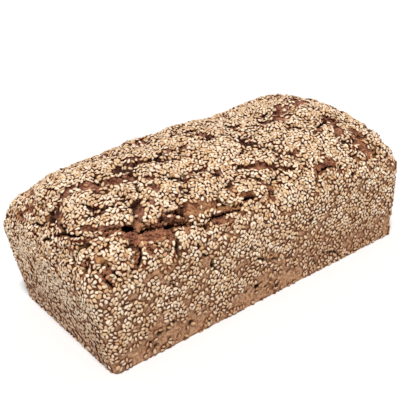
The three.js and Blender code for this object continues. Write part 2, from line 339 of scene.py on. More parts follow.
# %% [markdown]
# A crack is drawn as a route over the skin. Two numbers are enough for each of its points, because the
# form gives the third: (x, z) on the front and back, (y, z) on the ends and (x, y) on the top.
#
# - A tear goes deep and shows raw crumb, with its upper lip hanging over it, as where the crown left
#   the wall. A hole is the deepest part of one.
# - A valley is skin that stretched between two plates. It lost its seeds and stayed smooth.
# - A split is a narrow crease, and a pore is a small pit that a bubble left.
# - A scrape is raw crumb with hardly any depth. A bald place is whole skin with no seeds, and a thin
#   place has few, as low on the walls, where the dough slid up the tin.

# %% Routes of the cracks on the front
TEAR, HOLE, VALLEY, SPLIT, PORE = "tear", "hole", "valley", "split", "pore"
SCRAPE, BALD, THIN = "scrape", "bald", "thin"

# kind, width, depth and route; a thin place has the share of seeds that are missing for its depth
FRONT_TEARS = [
    (SCRAPE, 3.6, 3.2, [(-110, 80), (-105, 79.5), (-98, 80), (-93, 81), (-89, 81)]),
    (HOLE, 2.2, 5, [(-104, 82), (-102, 82)]),
    (HOLE, 2.4, 5, [(-99, 81.5), (-91, 81.5)]),
    (HOLE, 7.6, 9, [(-88, 80.5), (-85, 79.7)]),
    (TEAR, 3.4, 7, [(-83, 77), (-76, 77), (-71, 76)]),
    (HOLE, 3.6, 8, [(-76, 77), (-72, 76)]),
    (HOLE, 4.2, 8, [(-61, 80), (-55, 79), (-51, 76)]),
    (HOLE, 3.4, 7, [(-59, 74), (-55, 71)]),
    (HOLE, 2.2, 6, [(-70, 76), (-65, 75), (-62, 72), (-62, 69)]),
    (HOLE, 1.8, 5, [(-50, 74), (-46, 73)]),
    (TEAR, 3, 6, [(-42, 68), (-37, 70), (-28, 69), (-22, 68), (-16, 68)]),
    (SPLIT, 3, 5, [(-41, 69), (-42, 64)]),
    (TEAR, 3, 5, [(-13, 72), (-8, 72), (-2, 71)]),
    (SPLIT, 3, 5, [(9, 72), (8, 65)]),
    (SPLIT, 3, 5, [(60, 70), (54, 70), (47, 70), (43, 66), (40, 61)]),
    (SPLIT, 2.6, 5, [(60, 66), (65, 68), (70, 67)]),
    (SPLIT, 3, 4, [(71, 60), (77, 62)]),
    (SPLIT, 3.2, 5, [(87, 67), (88, 63), (87, 57)]),
    (SPLIT, 3.6, 5, [(-62, 70), (-63, 64), (-64, 61), (-64, 56)]),
    (SPLIT, 3, 4.5, [(-84, 70), (-86, 67), (-89, 63), (-92, 61)]),
    (TEAR, 3, 5, [(-111, 68), (-109, 61), (-106, 57)]),
    (HOLE, 3.6, 5, [(-104, 65), (-103, 62)]),
    (SPLIT, 2.2, 2.5, [(-71, 45), (-69, 40)]),
    (SPLIT, 2.8, 3.5, [(-50, 54), (-45, 51)]),
    (SPLIT, 3.2, 3.5, [(-43, 47), (-42, 43), (-40, 38)]),
    (SPLIT, 2.4, 3, [(-50, 61), (-49, 56)]),
    (SPLIT, 2.4, 3, [(-13, 45), (-11, 39)]),
    (SPLIT, 2.0, 2, [(77, 40), (78, 26)]),
    (SPLIT, 1.8, 2, [(-41, 13), (-37, 16)]),
    (SPLIT, 1.8, 1.5, [(-104, 44), (-95, 44)]),
]
FRONT_BARE_PLACES = [
    (SCRAPE, 4.5, 1.2, [(-90, 78), (-86, 76), (-84, 74)]),
    (SCRAPE, 6, 1.4, [(-82, 75), (-79, 73), (-75, 73)]),
    (SCRAPE, 5.5, 1.4, [(-85, 73), (-88, 69), (-91, 65)]),
    (SCRAPE, 7, 1.2, [(-79, 72), (-79, 67)]),
    (SCRAPE, 5, 1.2, [(-73, 73), (-67, 71), (-63, 69)]),
    (SCRAPE, 5, 2.2, [(-71, 77), (-65, 75.5)]),
    (SCRAPE, 10, 5, [(-64, 76), (-58, 75), (-54, 73)]),
    (SCRAPE, 3.5, 1.0, [(-36, 67), (-24, 65)]),
    (BALD, 4, 1.4, [(-106, 83), (-101, 82.5), (-96, 82), (-90, 82.5)]),
    (SCRAPE, 4, 1.6, [(-108, 66), (-108, 62), (-107, 58)]),
    (SCRAPE, 5, 1.0, [(5, 78), (8, 73), (8, 68)]),
    (SCRAPE, 6, 1.4, [(47, 72), (54, 72), (60, 72)]),
    (SCRAPE, 9, 1.4, [(92, 79), (92, 74), (93, 69)]),
    (BALD, 9, 0.5, [(-52, 78), (-46, 77), (-39, 77), (-32, 75)]),
    (BALD, 7, 0.5, [(-32, 75), (-26, 73)]),
    (BALD, 6, 0.5, [(-34, 72), (-22, 71), (-16, 70)]),
    (BALD, 3, 0.4, [(-11, 74.5), (-4, 73.5)]),
    (BALD, 4, 0.5, [(-107, 72), (-106, 69)]),
    (THIN, 6, 0.8, [(-90, 53), (-77, 53), (-69, 56)]),
    (THIN, 6, 0.8, [(-103, 50), (-91, 49), (-86, 52)]),
    (THIN, 6, 0.85, [(27, 37), (36, 36), (45, 36)]),
    (BALD, 12, 0.2, [(109, 9), (115, 9)]),
    (THIN, 22, 0.7, [(-94, 7), (-82, 12), (-66, 10), (-52, 3)]),
    (THIN, 14, 0.5, [(-50, 3), (-36, 4), (-24, 5)]),
    (THIN, 18, 0.88, [(-20, 6), (-8, 11), (8, 10), (20, 6)]),
    (THIN, 18, 0.5, [(30, 19), (52, 16), (74, 12), (98, 12)]),
    (THIN, 28, 0.4, [(98, 12), (112, 12)]),
    (THIN, 9, 0.5, [(18, 33), (30, 31), (41, 28)]),
    (SPLIT, 2.4, 3, [(47, 13), (57, 9), (62, 4), (64, 1)]),
    (SPLIT, 2.4, 3, [(36, 13), (39, 8), (42, 4)]),
    (SPLIT, 2.2, 2.5, [(-11, 33), (-2, 29), (9, 25)]),
    (SPLIT, 2.8, 3, [(14, 22), (20, 26)]),
]
# place along the wall, height and width of each pore
FRONT_PORES = [
    (-82, 14, 3.8), (-86, 7, 2.8), (-76, 13, 2.0), (-89, 11, 2.6), (-72, 17, 2.0), (-60, 10, 3.0),
    (-9, 12, 4.0), (7, 6, 3.6), (-18, 12, 2.4), (-2, 9, 2.0), (36, 43, 3.6), (16, 12, 2.2),
]
PORE_DEPTH = 2.5


def pore(x, z, width):
    """A pore as a route of one millimetre, so that it is laid like all other places."""
    return PORE, width, PORE_DEPTH, [(x - 0.5, z), (x + 0.5, z)]


FRONT_CRACKS = FRONT_TEARS + FRONT_BARE_PLACES + [pore(*numbers) for numbers in FRONT_PORES]
print(len(FRONT_CRACKS), "places on the front")

# %% [markdown]
# The near end has a tear at its shoulder. The crown is broken into plates by valleys, with bald places
# where a plate's skin stretched. The back and the far end can't be seen in the photograph, so they get
# tears of the same kinds, as the crown must have torn there too.

# %% Routes of the cracks on the ends, the crown and the back
LEFT_CRACKS = [
    (SPLIT, 2.8, 4.5, [(-5, 68), (-11, 71), (-19, 73), (-24, 76)]),
    (TEAR, 4, 7, [(-23, 76), (-30, 79), (-37, 80), (-44, 80)]),
    (HOLE, 5.4, 6, [(37, 72), (32, 72), (27, 70)]),
    (HOLE, 3.8, 6, [(26, 86), (19, 87), (16, 84)]),
    (SCRAPE, 5, 1.8, [(29, 81), (20, 79), (13, 80)]),
    (BALD, 4, 0.8, [(28, 76), (20, 75)]),
    (SPLIT, 3.2, 4.5, [(14, 73), (5, 75), (-3, 76)]),
    (SPLIT, 4, 5, [(-5, 80), (-12, 81), (-17, 82)]),
    (SPLIT, 3.6, 5, [(-22, 82), (-29, 81)]),
    (VALLEY, 7, 3, [(-10, 84), (-14, 86), (-10, 89)]),
    (BALD, 6, 0.4, [(-12, 85), (-21, 85)]),
    (BALD, 7, 0.4, [(33, 82), (26, 86)]),
    (SCRAPE, 3, 1, [(-36, 74), (-40, 73)]),
    (HOLE, 4, 5, [(-53, 70), (-55, 66)]),
    (THIN, 44, 0.3, [(-40, 16), (0, 16), (40, 16)]),
]
RIGHT_CRACKS = [
    (TEAR, 4, 5, [(-34, 76), (-14, 82), (8, 84), (28, 78)]),
    (BALD, 6, 0.3, [(-22, 88), (-8, 90)]),
    (THIN, 12, 0.6, [(-44, 14), (-10, 9), (36, 16)]),
]
CROWN_CRACKS = [
    (VALLEY, 4.5, 3, [(-102, -8), (-97, -9), (-91, -12)]),
    (VALLEY, 8, 3.4, [(-92, -12), (-83, -19), (-70, -23), (-57, -27)]),
    (VALLEY, 5, 3, [(-57, -27), (-55, -35)]),
    (VALLEY, 5, 2.6, [(-67, -13), (-56, -13), (-48, -14)]),
    (SPLIT, 2.2, 3, [(-62, -8.5), (-54, -7.5), (-43, -10.5)]),
    (SPLIT, 2.8, 3, [(-33, -8), (-26, -14)]),
    (SPLIT, 3.4, 3, [(0, 20), (3, 14), (9, 11)]),
    (SPLIT, 2.8, 3, [(-28, -37), (-21, -41)]),
    (SPLIT, 2.6, 3, [(-1, -52), (4, -55), (9, -57)]),
    (SPLIT, 2.4, 3, [(53, -35), (60, -37), (66, -40)]),
    (SPLIT, 3, 3, [(-52, -35), (-45, -35), (-41, -38), (-37, -43)]),
    (VALLEY, 5, 2, [(-60, -37), (-56, -42)]),
    (VALLEY, 6, 4, [(-70, -44), (-76, -48), (-80, -54)]),
    (SPLIT, 2.2, 3, [(-103, -33), (-98, -36), (-93, -39), (-87, -42)]),
    (VALLEY, 4, 4, [(-89, 27), (-87, 16), (-88, 8)]),
    (SPLIT, 3, 3, [(-56, 8), (-52, 14), (-50, 22)]),
    (VALLEY, 4, 3, [(-33, 26), (-30, 19), (-25, 15)]),
    (SPLIT, 3, 3, [(-44, -43), (-43, -47), (-41, -50)]),
    (VALLEY, 4, 3, [(-12, -49), (-15, -54), (-17, -58)]),
    (SPLIT, 3.6, 3, [(-14, 10), (-4, 5), (6, 3)]),
    (VALLEY, 4.5, 2.5, [(-15, -11), (-21, -18)]),
    (VALLEY, 4.5, 3, [(-2, -2), (0, -10), (1, -17)]),
    (SPLIT, 3.4, 3, [(12, -29), (16, -32), (21, -33)]),
    (VALLEY, 4.4, 2.4, [(-2, -45), (6, -48), (12, -51), (19, -53), (25, -56), (32, -58)]),
    (SPLIT, 3, 3, [(27, -46), (33, -49), (38, -51)]),
    (SPLIT, 4, 3.5, [(19, -3), (23, -8), (22, -16)]),
    (SPLIT, 4.4, 4, [(0, -9), (1, -13), (2, -18)]),
    (SPLIT, 4.4, 4, [(11, -26), (16, -31), (22, -33)]),
    (SPLIT, 4, 3, [(-19, -42), (-17, -44), (-15, -46)]),
    (SPLIT, 4, 3, [(28, -15), (34, -13)]),
    (SPLIT, 5, 3, [(39, -21), (45, -21), (50, -19)]),
    (SPLIT, 2.4, 3.5, [(-98, -26), (-95, -33), (-91, -37), (-84, -39), (-74, -36)]),
    (VALLEY, 6, 3, [(-79, -49), (-79, -53), (-83, -57)]),
    (VALLEY, 6, 2, [(-64, -45), (-65, -50)]),
    (BALD, 7, 0.5, [(18, 15), (28, 10)]),
    (BALD, 11, 3, [(75, -8), (82, -10), (89, -9)]),
    (BALD, 7, 1.4, [(86, 1), (84, -6)]),
    (BALD, 10, 3, [(60, -12), (66, -12)]),
    (BALD, 7, 0.8, [(49, -21), (59, -21)]),
    (SPLIT, 4, 3, [(38, -18), (43, -20)]),
    (VALLEY, 6, 2, [(85, -35), (86, -42)]),
    (BALD, 8, 0.8, [(84, -42), (82, -48)]),
    (VALLEY, 4.5, 2.5, [(73, -40), (67, -44), (62, -44)]),
    (VALLEY, 5, 2, [(51, -43), (46, -48)]),
    (VALLEY, 5, 2, [(36, -51), (43, -50)]),
    (HOLE, 7.4, 9, [(94, -50), (97, -55)]),
    (VALLEY, 5, 3, [(-88, 34), (-74, 26), (-60, 26)]),
    (VALLEY, 5, 3, [(-34, 48), (-12, 40), (10, 44), (28, 38)]),
    (VALLEY, 5, 4, [(38, 22), (56, 26), (76, 24), (92, 18)]),
]
BACK_CRACKS = [
    (TEAR, 6, 7, [(-97, 70), (-80, 75), (-60, 78), (-38, 74), (-16, 76)]),
    (TEAR, 5, 6, [(-4, 72), (16, 76), (38, 75), (62, 78), (84, 72)]),
    (SPLIT, 3.6, 5, [(-30, 72), (-33, 64), (-27, 54)]),
    (SPLIT, 3.6, 5, [(50, 73), (47, 65), (53, 57)]),
    (HOLE, 5, 8, [(-64, 78), (-59, 78)]),
    (SCRAPE, 8, 1.4, [(-66, 73), (-54, 71), (-46, 72)]),
    (SCRAPE, 7, 1.4, [(30, 71), (44, 70), (56, 73)]),
    (BALD, 7, 0.4, [(-84, 50), (-62, 54)]),
    (BALD, 6, 0.4, [(6, 50), (24, 47)]),
    (BALD, 8, 0.5, [(-10, 80), (10, 82)]),
    (THIN, 15, 0.8, [(-96, 8), (-66, 12), (-38, 9)]),
    (THIN, 14, 0.7, [(10, 18), (44, 14), (78, 20), (104, 12)]),
]
BACK_PORES = [(-69.5, 12, 3.6), (30.5, 10, 3), (66.5, 22, 3)]
CRACKS = {
    "front": FRONT_CRACKS,
    "left": LEFT_CRACKS,
    "right": RIGHT_CRACKS,
    "top": CROWN_CRACKS,
    "back": BACK_CRACKS + [pore(*numbers) for numbers in BACK_PORES],
}
print(sum(len(cracks) for cracks in CRACKS.values()), "places in all")

# %% [markdown]
# The form gives each route's third number. On a wall, the height says which level it is, and the level's
# plan says how far out the skin is there, round corners too. On the crown it is the other way round: the
# level is looked for whose plan just passes through the point.

# %% Lay the routes on the skin
HALVINGS = 30


def reach(half, corner, other_half, place):
    """How far a plan reaches along one axis, at a place on the other, with its round corner."""
    past = abs(place) - (other_half - corner)
    if past <= 0:
        return half
    if past >= corner:
        return 0
    return half - corner + math.sqrt(corner**2 - past**2)


def level_under(x, y):
    """The level whose plan passes through a point of the top, found by halving."""
    low, high = 1, 2
    for _ in range(HALVINGS):
        middle = (low + high) / 2
        _, half_length, half_width, corner = plan_at(middle)
        if abs(y) < reach(half_width, corner, half_length, x):
            low = middle
        else:
            high = middle
    return low


def on_skin(side, a, b):
    """The point of the form that a crack's two numbers mean on its side."""
    if side == "top":
        return a, b, plan_at(level_under(a, b))[0]
    level = b / RIM_HEIGHT if b <= RIM_HEIGHT else 1 + (b - RIM_HEIGHT) / CROWN_RISE
    _, half_length, half_width, corner = plan_at(level)
    if side in ("front", "back"):
        y = reach(half_width, corner, half_length, a)
        return a, (-y if side == "front" else y), b
    x = reach(half_length, corner, half_width, a)
    return (-x if side == "left" else x), a, b


laid_cracks = [
    (kind, width, depth, np.array([on_skin(side, a, b) for a, b in route], float))
    for side, cracks in CRACKS.items()
    for kind, width, depth, route in cracks
]
print("the routes have", sum(len(route) for *_, route in laid_cracks), "points")

# %% [markdown]
# Each point of the skin asks each route near it how far away it is, how far along the route its nearest
# point lies, and whether it is above or below it. Dough tears in fits and starts, not along a ruler.
# So the points are first shifted by cloudy noise, in wide swings and small ones, which makes the same
# crack wander and its edges ragged.

# %% Measure the skin against a route
WIDE_SWING = 1.7
WIDE_SWING_SIZE = 11
SMALL_SWING = 0.8
SMALL_SWING_SIZE = 3.2
# the three directions of a swing are read this far apart
SWING_SHIFTS = (0, 100, 200)
SEARCH_REACH = 16
# a tear's depth along its way: size of the clouds, middle and swing of the share, and its limits
UNEVEN_SIZE = 6
UNEVEN_MIDDLE = 0.75
UNEVEN_SWING = 0.95
UNEVEN_RANGE = (0.15, 1.25)
CRUMB_GRAIN = 2.6
RAGGED_SIZE = 4.5
RAGGED_SWING = 1.6


def swings(size, start):
    """A cloudy shift for each point of the skin, in three directions."""
    return np.stack([clouds(plain + start + shift, size, 2) for shift in SWING_SHIFTS], axis=1)


def near_route(points, route):
    """Distance to a route, share of its length and height above it, for each point."""
    best = np.full(len(points), np.inf)
    share = np.zeros(len(points))
    above = np.zeros(len(points))
    lengths = np.linalg.norm(np.diff(route, axis=0), axis=1)
    starts = np.concatenate([[0], np.cumsum(lengths)])
    for start, end, length, before in zip(route, route[1:], lengths, starts):
        along = (end - start) / length
        walked = np.clip((points - start) @ along, 0, length)
        offset = points - start - walked[:, None] * along
        distance = np.linalg.norm(offset, axis=1)
        closer = distance < best
        best[closer] = distance[closer]
        share[closer] = ((before + walked) / starts[-1])[closer]
        above[closer] = offset[closer, 2]
    return best, share, above


wander = WIDE_SWING * swings(WIDE_SWING_SIZE, START["wide swings"])
wander += SMALL_SWING * swings(SMALL_SWING_SIZE, START["small swings"])
depth_clouds = clouds(plain + START["tear depth"], UNEVEN_SIZE, 2)
unevenness = np.clip(UNEVEN_MIDDLE + UNEVEN_SWING * depth_clouds, *UNEVEN_RANGE)
crumb_noise = clouds(plain + START["crumb"], CRUMB_GRAIN, 2)
ragged = np.clip(RAGGED_SWING * clouds(plain + START["ragged edges"], RAGGED_SIZE, 2), -1, 1)
print("edges wander up to", round(float(np.abs(wander).max()), 1), "mm")

# %% [markdown]
# Each kind of place has its own section through the skin. A tear is deepest under its upper lip and
# slopes out below, and a valley has steep sides and a flat floor.

# %% Give each kind its section
TEAR_STEEPNESS = 0.5
SPLIT_STEEPNESS = 0.7
LOWER_SIDE_SHARE = 0.6
# between which two values each of these fades in
UPPER_LIP = (-1, 0.3)
VALLEY_SIDE = (0, 0.55)


def section(kind, distance, half, above):
    """How deep a place is at a distance from its route, as a share of its depth."""
    inside = np.clip(1 - distance / half, 0, 1)
    if kind == TEAR:
        leaning = blend(LOWER_SIDE_SHARE, 1, smooth_step(*UPPER_LIP, above / half))
        return inside**TEAR_STEEPNESS * leaning
    if kind == SPLIT:
        return inside**SPLIT_STEEPNESS
    return smooth_step(*VALLEY_SIDE, inside)


for kind in (TEAR, SPLIT, VALLEY):
    print("across a", kind, "from its middle:", section(kind, np.linspace(0, 1, 5), 1, 0).round(2))

# %% [markdown]
# Beside the depth, a few numbers are kept for each point, and the seeds and the finishes read them later:
# `bare` says that no seed sticks there, `raw` that the crumb shows, `thinned` how few seeds there are,
# `dark` that it is the core of a crack, where black is painted as shade, `pitted` that it is a pore, and
# `edging` that a crack is near. The walls also have thin patches of their own, between which the seeds
# stand in clumps.

# %% Tear the skin
# how each kind's lip lifts and hangs over, and how much the place wanders, widens, frays, shows raw
# crumb and is painted dark as shade
LIP_LIFT = {TEAR: 0.7, VALLEY: 0.35, SPLIT: 0.3}
OVERHANG = {TEAR: 0.7, HOLE: 0.2, VALLEY: 0.4, SPLIT: 0.3}
WANDER = {SCRAPE: 0.8, BALD: 0.8, THIN: 2.2, PORE: 0.5}
WIDENING = {VALLEY: 1.2, SPLIT: 1.2, TEAR: 1.15}
RAGGEDNESS = {SCRAPE: 0.4, BALD: 0.45, VALLEY: 0.45, THIN: 0.3}
RAWNESS = {TEAR: 0.5, HOLE: 0.5, SCRAPE: 1}
DARKNESS = {TEAR: 1, HOLE: 1, SPLIT: 0.95}
TAPERED = (TEAR, VALLEY, SPLIT)
SHALLOWEST_TEAR = 0.55
LIP_WIDTH = 1.8
END_SHARE = 0.35
# a narrow place wanders less: the least share of the swing, and the width that adds all of it
LEAST_SWING = 0.3
SWING_WIDTH = 7
EDGE_WIDTH = 2.4
SEED_CLEARANCE = 0.45
CLEARED_FADE = 0.8
# between which two values each of these fades in
OVER_ROUTE = (0, 2)
DARK_CORE = (0.15, 0.5)
DARK_SPLIT = (0.1, 0.35)
THIN_EDGE = (-4, 5)
PORE_EDGE = (-0.2, 0.5)
# the walls' own thin patches: from which to which cloud value, how wide, and the share of seeds missing
PATCH_RANGE = (0.02, 0.3)
PATCH_SIZE = 9
PATCH_SHARE = 0.4


def raise_to(values, near, new):
    """Gives the points near a route their new values, where those are higher than the old ones."""
    values[near] = np.maximum(values[near], new)


push, lift, droop, bare, raw, thinned, pitted, dark, edging = np.zeros((9, len(plain)))
for kind, width, depth, route in laid_cracks:
    low, high = route.min(axis=0) - SEARCH_REACH, route.max(axis=0) + SEARCH_REACH
    near = np.flatnonzero(((plain > low) & (plain < high)).all(axis=1))
    swing = WANDER.get(kind, 1) * min(1, LEAST_SWING + width / SWING_WIDTH)
    distance, share, above = near_route(plain[near] + swing * wander[near], route)
    taper = blend(END_SHARE, 1, np.sin(math.pi * share) ** 0.5)
    half = 0.5 * width * WIDENING.get(kind, 1) * (taper if kind in TAPERED else 1)
    half = half * (1 + RAGGEDNESS.get(kind, 0) * ragged[near])
    cut = (0 if kind == THIN else depth) * section(kind, distance, half, above)
    if kind in (TEAR, SPLIT):
        cut = cut * np.maximum(unevenness[near], SHALLOWEST_TEAR)
    raise_to(push, near, cut)
    beside = np.exp(-(((distance - half - LIP_WIDTH) / LIP_WIDTH) ** 2))
    raise_to(lift, near, LIP_LIFT.get(kind, 0) * beside)
    raise_to(droop, near, OVERHANG.get(kind, 0) * beside * smooth_step(*OVER_ROUTE, above))
    # painted shade: the core of a tear, hole or split is painted black
    core = DARKNESS.get(kind, 0) * smooth_step(*DARK_CORE, 1 - distance / half)
    if kind == SPLIT:
        core = core * smooth_step(*DARK_SPLIT, unevenness[near])
    raise_to(dark, near, core)
    cleared = smooth_step(0, CLEARED_FADE, half + SEED_CLEARANCE - distance)
    raise_to(raw, near, RAWNESS.get(kind, 0) * cleared)
    if kind == THIN:
        raise_to(thinned, near, depth * smooth_step(*THIN_EDGE, half - distance))
    else:
        raise_to(bare, near, cleared)
        raise_to(edging, near, half + EDGE_WIDTH > distance)
    if kind == PORE:
        raise_to(pitted, near, smooth_step(*PORE_EDGE, half - distance))
patch_clouds = clouds(plain + START["thin patches"], PATCH_SIZE, 3)
patchy = smooth_step(*PATCH_RANGE, patch_clouds) * (1 - crown)
thinned = np.maximum(thinned, PATCH_SHARE * patchy)
print("deepest place:", round(float(push.max()), 1), "mm;", int((bare > 0.5).sum()), "bare points")

# %% [markdown]
# Between the drawn valleys the crown is crazed all over. As the skin dries and the crumb still swells,
# it breaks into scales, which are longer along the loaf, because the crown stretches most across it. A
# cell pattern gives those scales: a crease lies where the two nearest cell centres are about as far away.
# Each scale also stands at a height of its own, a little above or below the next.

# %% Craze the crown
SCALE_SIZE = (25, 13, 14)
SCALE_TURN = math.radians(-24)
SCALE_WANDER = 2.2
SCALE_EDGE = 0.5
SCALE_DOME = 0.9
STEP_HEIGHT = 1.5
STEP_EDGE = 0.12
# any three numbers that turn the place of a scale into a height of its own
STEP_MIX = (12.9, 78.2, 37.7)
# a crease's width and flat floor are shares of a scale
CREASE_WIDTH = 0.13
CREASE_FLOOR = 0.2 * CREASE_WIDTH
CREASE_DEPTH = 3.0
# the middle of a crease is painted dark, as shade
CREASE_SHADE = 0.8
CREASE_IS_BARE = (0.3, 0.6)
CREASE_IS_DARK = (0.5, 0.95)
CRAZED_SIZE = 17
CRAZED_RANGE = (-0.5, 0.05)

shifted = plain + SCALE_WANDER * wander
shifted = shifted @ np.array(Matrix.Rotation(SCALE_TURN, 3, "Z"))
found = [noise.voronoi(Vector(p)) for p in shifted / np.array(SCALE_SIZE)]
gap = np.array([distances[1] - distances[0] for distances, _ in found])
centre = np.array([tuple(centres[0]) for _, centres in found])
raised = np.sin(centre @ STEP_MIX)
crazed = smooth_step(*CRAZED_RANGE, clouds(plain + START["crazing"], CRAZED_SIZE, 2))
crease = (1 - smooth_step(CREASE_FLOOR, CREASE_WIDTH, gap)) * crown * crazed
scale = smooth_step(0, SCALE_EDGE, gap) * crown
dome = SCALE_DOME * (scale - 0.5 * crown)
dome += 0.5 * STEP_HEIGHT * raised * crown * smooth_step(0, STEP_EDGE, gap)
push = np.maximum(push, CREASE_DEPTH * crease)
bare = np.maximum(bare, smooth_step(*CREASE_IS_BARE, crease))
dark = np.maximum(dark, CREASE_SHADE * smooth_step(*CREASE_IS_DARK, crease))
print("creases on", round(100 * float((crease > 0.5).mean()), 1), "% of the skin")

# %% [markdown]
# All the pushes are now carried out at once. Raw crumb also gets a rough surface, with grains a few
# millimetres wide, as real as the tears themselves: at a low light such grains throw shadows that a
# painted bump can't throw. A few broad sags are added, where the crown fell in a little as it cooled. The
# skin lies a little inside the form, because the seeds that cover it reach out to the full size.

# %% Push the skin into shape
SKIN_RIPPLE = 0.25
SKIN_RIPPLE_SIZE = 5
BARE_RIPPLE = 0.9
BARE_RIPPLE_SIZE = 3.5
CRUMB_ROUGHNESS = 1.9
SEED_LAYER = 0.6
# middle, radius and depth of each sag in the crust
SAGS = [
    ((42, 10, 98), 26, 3.0),
    ((-52, 12, 98), 22, 1.6),
    ((58, 26, 95), 24, 2.0),
    ((-79, 41, 89), 5.5, 8.5),
    ((-84, 34, 91), 5, 6.5),
    ((-88, 25, 93), 5, 5.5),
    ((-97, 42, 83), 13, 2.6),
    ((95, -32, 90), 20, 2.2),
    ((-119, 48, 60), 22, 2.6),
]

sag = np.zeros(len(plain))
for middle, radius, depth in SAGS:
    away = np.linalg.norm((plain - middle) / radius, axis=1)
    sag = np.maximum(sag, depth * np.exp(-(away**2)))
ripple = SKIN_RIPPLE * clouds(plain + START["skin ripple"], SKIN_RIPPLE_SIZE)
ripple += BARE_RIPPLE * bare * clouds(plain + START["bare ripple"], BARE_RIPPLE_SIZE)
rough = CRUMB_ROUGHNESS * crumb_noise * raw
out = lump_at(plain) + dome + lift + ripple + rough - push - sag - SEED_LAYER
skin = plain - into * (out * off_base)[:, None]
skin[:, 2] -= droop * off_base
skin[:, 2] = np.maximum(skin[:, 2], 0)
loaf.data.vertices.foreach_set("co", (skin * MM).astype(np.float32).ravel())
loaf.data.update()
print("the crust reaches", skin.min(axis=0).round(1), skin.max(axis=0).round(1))

# %% [markdown]
# The finishes have to know where the crown, the raw crumb and the depths are; the depths are painted
# dark, as shade. A mesh can carry such numbers as attributes, one for each vertex, and a material reads
# them like a painted mask.

# %% Keep the numbers with the skin
CRACK_SHADE_RANGE = (2.8, 6.2)
ROUGH_SHARE = 1.3
# how much of the black painted as shade goes into the pits of the pores
PORE_SHADE_SHARE = 0.9


def keep(mesh, name, values):
    """Stores one number for each vertex, for the finishes to read."""
    attribute = mesh.attributes.new(name, "FLOAT", "POINT")
    attribute.data.foreach_set("value", np.asarray(values, np.float32))


# painted shade: the deeper a place, and the nearer a crack's core or a pore, the blacker the crust is
# painted
crack_shade = smooth_step(*CRACK_SHADE_RANGE, push - ROUGH_SHARE * rough)
crack_shade = np.maximum.reduce([crack_shade, PORE_SHADE_SHARE * pitted, dark])
for name, values in {"crown": crown, "raw": raw, "crack_shade": crack_shade}.items():
    keep(loaf.data, name, values)
    print(name, round(100 * float(values.mean()), 1), "% on average")

# %% [markdown]
# ## The seeds
#
# A sesame seed is a flat teardrop, about 3.4 by 2.1 by 1 mm, with one end blunt and the other pointed.
# One seed is modelled from a sphere whose poles lie at its two ends, so that each ring is a slice across
# the seed and can be made narrower towards the tip. It has few faces, because thousands of copies follow.

# %% Model one seed
SEED_LENGTH = 3.4
SEED_WIDTH = 2.15
SEED_THICKNESS = 1.15
SEED_SIDES = 6
SEED_RINGS = 4
TIP_TAPER = 0.36

bpy.ops.object.select_all(action="DESELECT")
bpy.ops.mesh.primitive_uv_sphere_add(
    segments=SEED_SIDES, ring_count=SEED_RINGS, radius=1, rotation=(0, math.pi / 2, 0)
)
seed = bpy.context.object
bpy.ops.object.transform_apply(rotation=True)
bpy.ops.object.mode_set(mode="EDIT")
bpy.ops.mesh.select_mode(type="VERT")
ring_places = sorted({round(vertex.co.x, 4) for vertex in seed.data.vertices})
for ring_place in ring_places[1:-1]:
    select_at(seed.data, 0, ring_place)
    girth = 1 - TIP_TAPER * ring_place
    bpy.ops.transform.resize(value=(1, girth, girth), center_override=(ring_place, 0, 0))
bpy.ops.mesh.select_all(action="SELECT")
half_sizes = [size * MM / 2 for size in (SEED_LENGTH, SEED_WIDTH, SEED_THICKNESS)]
bpy.ops.transform.resize(value=half_sizes, center_override=(0, 0, 0))
bpy.ops.object.mode_set(mode="OBJECT")
seed_points = points_of(seed.data)
seed_faces = [tuple(face.vertices) for face in seed.data.polygons]
print("one seed:", np.ptp(seed_points, axis=0).round(2), "mm,", len(seed_faces), "faces")
bpy.data.objects.remove(seed)

# %% [markdown]
# The seeds are scattered the way dough picks them up: anywhere, but never two in one place. First, far
# more points than seeds are thrown on the skin at random, as many on each triangle as its area asks for.
# Each carries the skin's numbers at its place.

# %% Throw points on the skin
RANDOM_SEED = 417
THROWS = 380000
BASE_REACH = 0.2

rng = np.random.default_rng(RANDOM_SEED)
loaf.data.calc_loop_triangles()
corners = read_threes(loaf.data.loop_triangles, "vertices", np.int32)
a, b, c = (skin[corners[:, i]] for i in range(3))
areas = 0.5 * np.linalg.norm(np.cross(b - a, c - a), axis=1)
vertex_normals = read_threes(loaf.data.vertices, "normal", np.float32).astype(float)

picked = rng.choice(len(corners), THROWS, p=areas / areas.sum())
first, second = rng.random((2, THROWS))
flip = first + second > 1
first[flip], second[flip] = 1 - first[flip], 1 - second[flip]
weights = np.stack([1 - first - second, first, second], axis=1)


def spread(values):
    """Carries numbers from the vertices to the thrown points."""
    return np.einsum("ij,ij...->i...", weights, values[corners[picked]])


thrown = spread(skin)
thrown_normal = spread(vertex_normals)
on_base = thrown[:, 2] < BASE_REACH
thrown_normal[on_base] = (0, 0, -1)
thrown_normal = unit(thrown_normal)
thrown_bare, thrown_raw, thrown_thin, thrown_crown = map(spread, (bare, raw, thinned, crown))
print("skin area:", round(areas.sum() / 100), "cm2")

# %% [markdown]
# Thrown points lie in heaps, and real seeds can't. So the points are gone through in order, and each one
# that is kept strikes out the others in a small circle around it. The circles are smaller on the crown,
# where the seeds lie half over each other. Seeds keep off the bare places, apart from a few strays, and
# on the thin places many are then taken away again, as if they had been rubbed off.

# %% Keep the points that have room
CROWN_SPACING = 1.68
WALL_SPACING = 2.0
BASE_SPACING = 3.2
STRAY_SHARE = 0.004
MOST_RAW = 0.3
MOST_BARE = 0.45


def tree_of(points):
    """A search tree that finds which of the points are near a place."""
    tree = kdtree.KDTree(len(points))
    for index, point in enumerate(points):
        tree.insert(point, index)
    tree.balance()
    return tree


def with_room(candidates, spacing):
    """Of the candidate points, in order, those that keep their spacing to all kept before them."""
    tree = tree_of(thrown[candidates])
    free = np.ones(len(candidates), bool)
    kept = []
    for position, index in enumerate(candidates):
        if free[position]:
            kept.append(index)
            for _, other, _ in tree.find_range(thrown[index], spacing[index]):
                free[other] = False
    return np.array(kept)


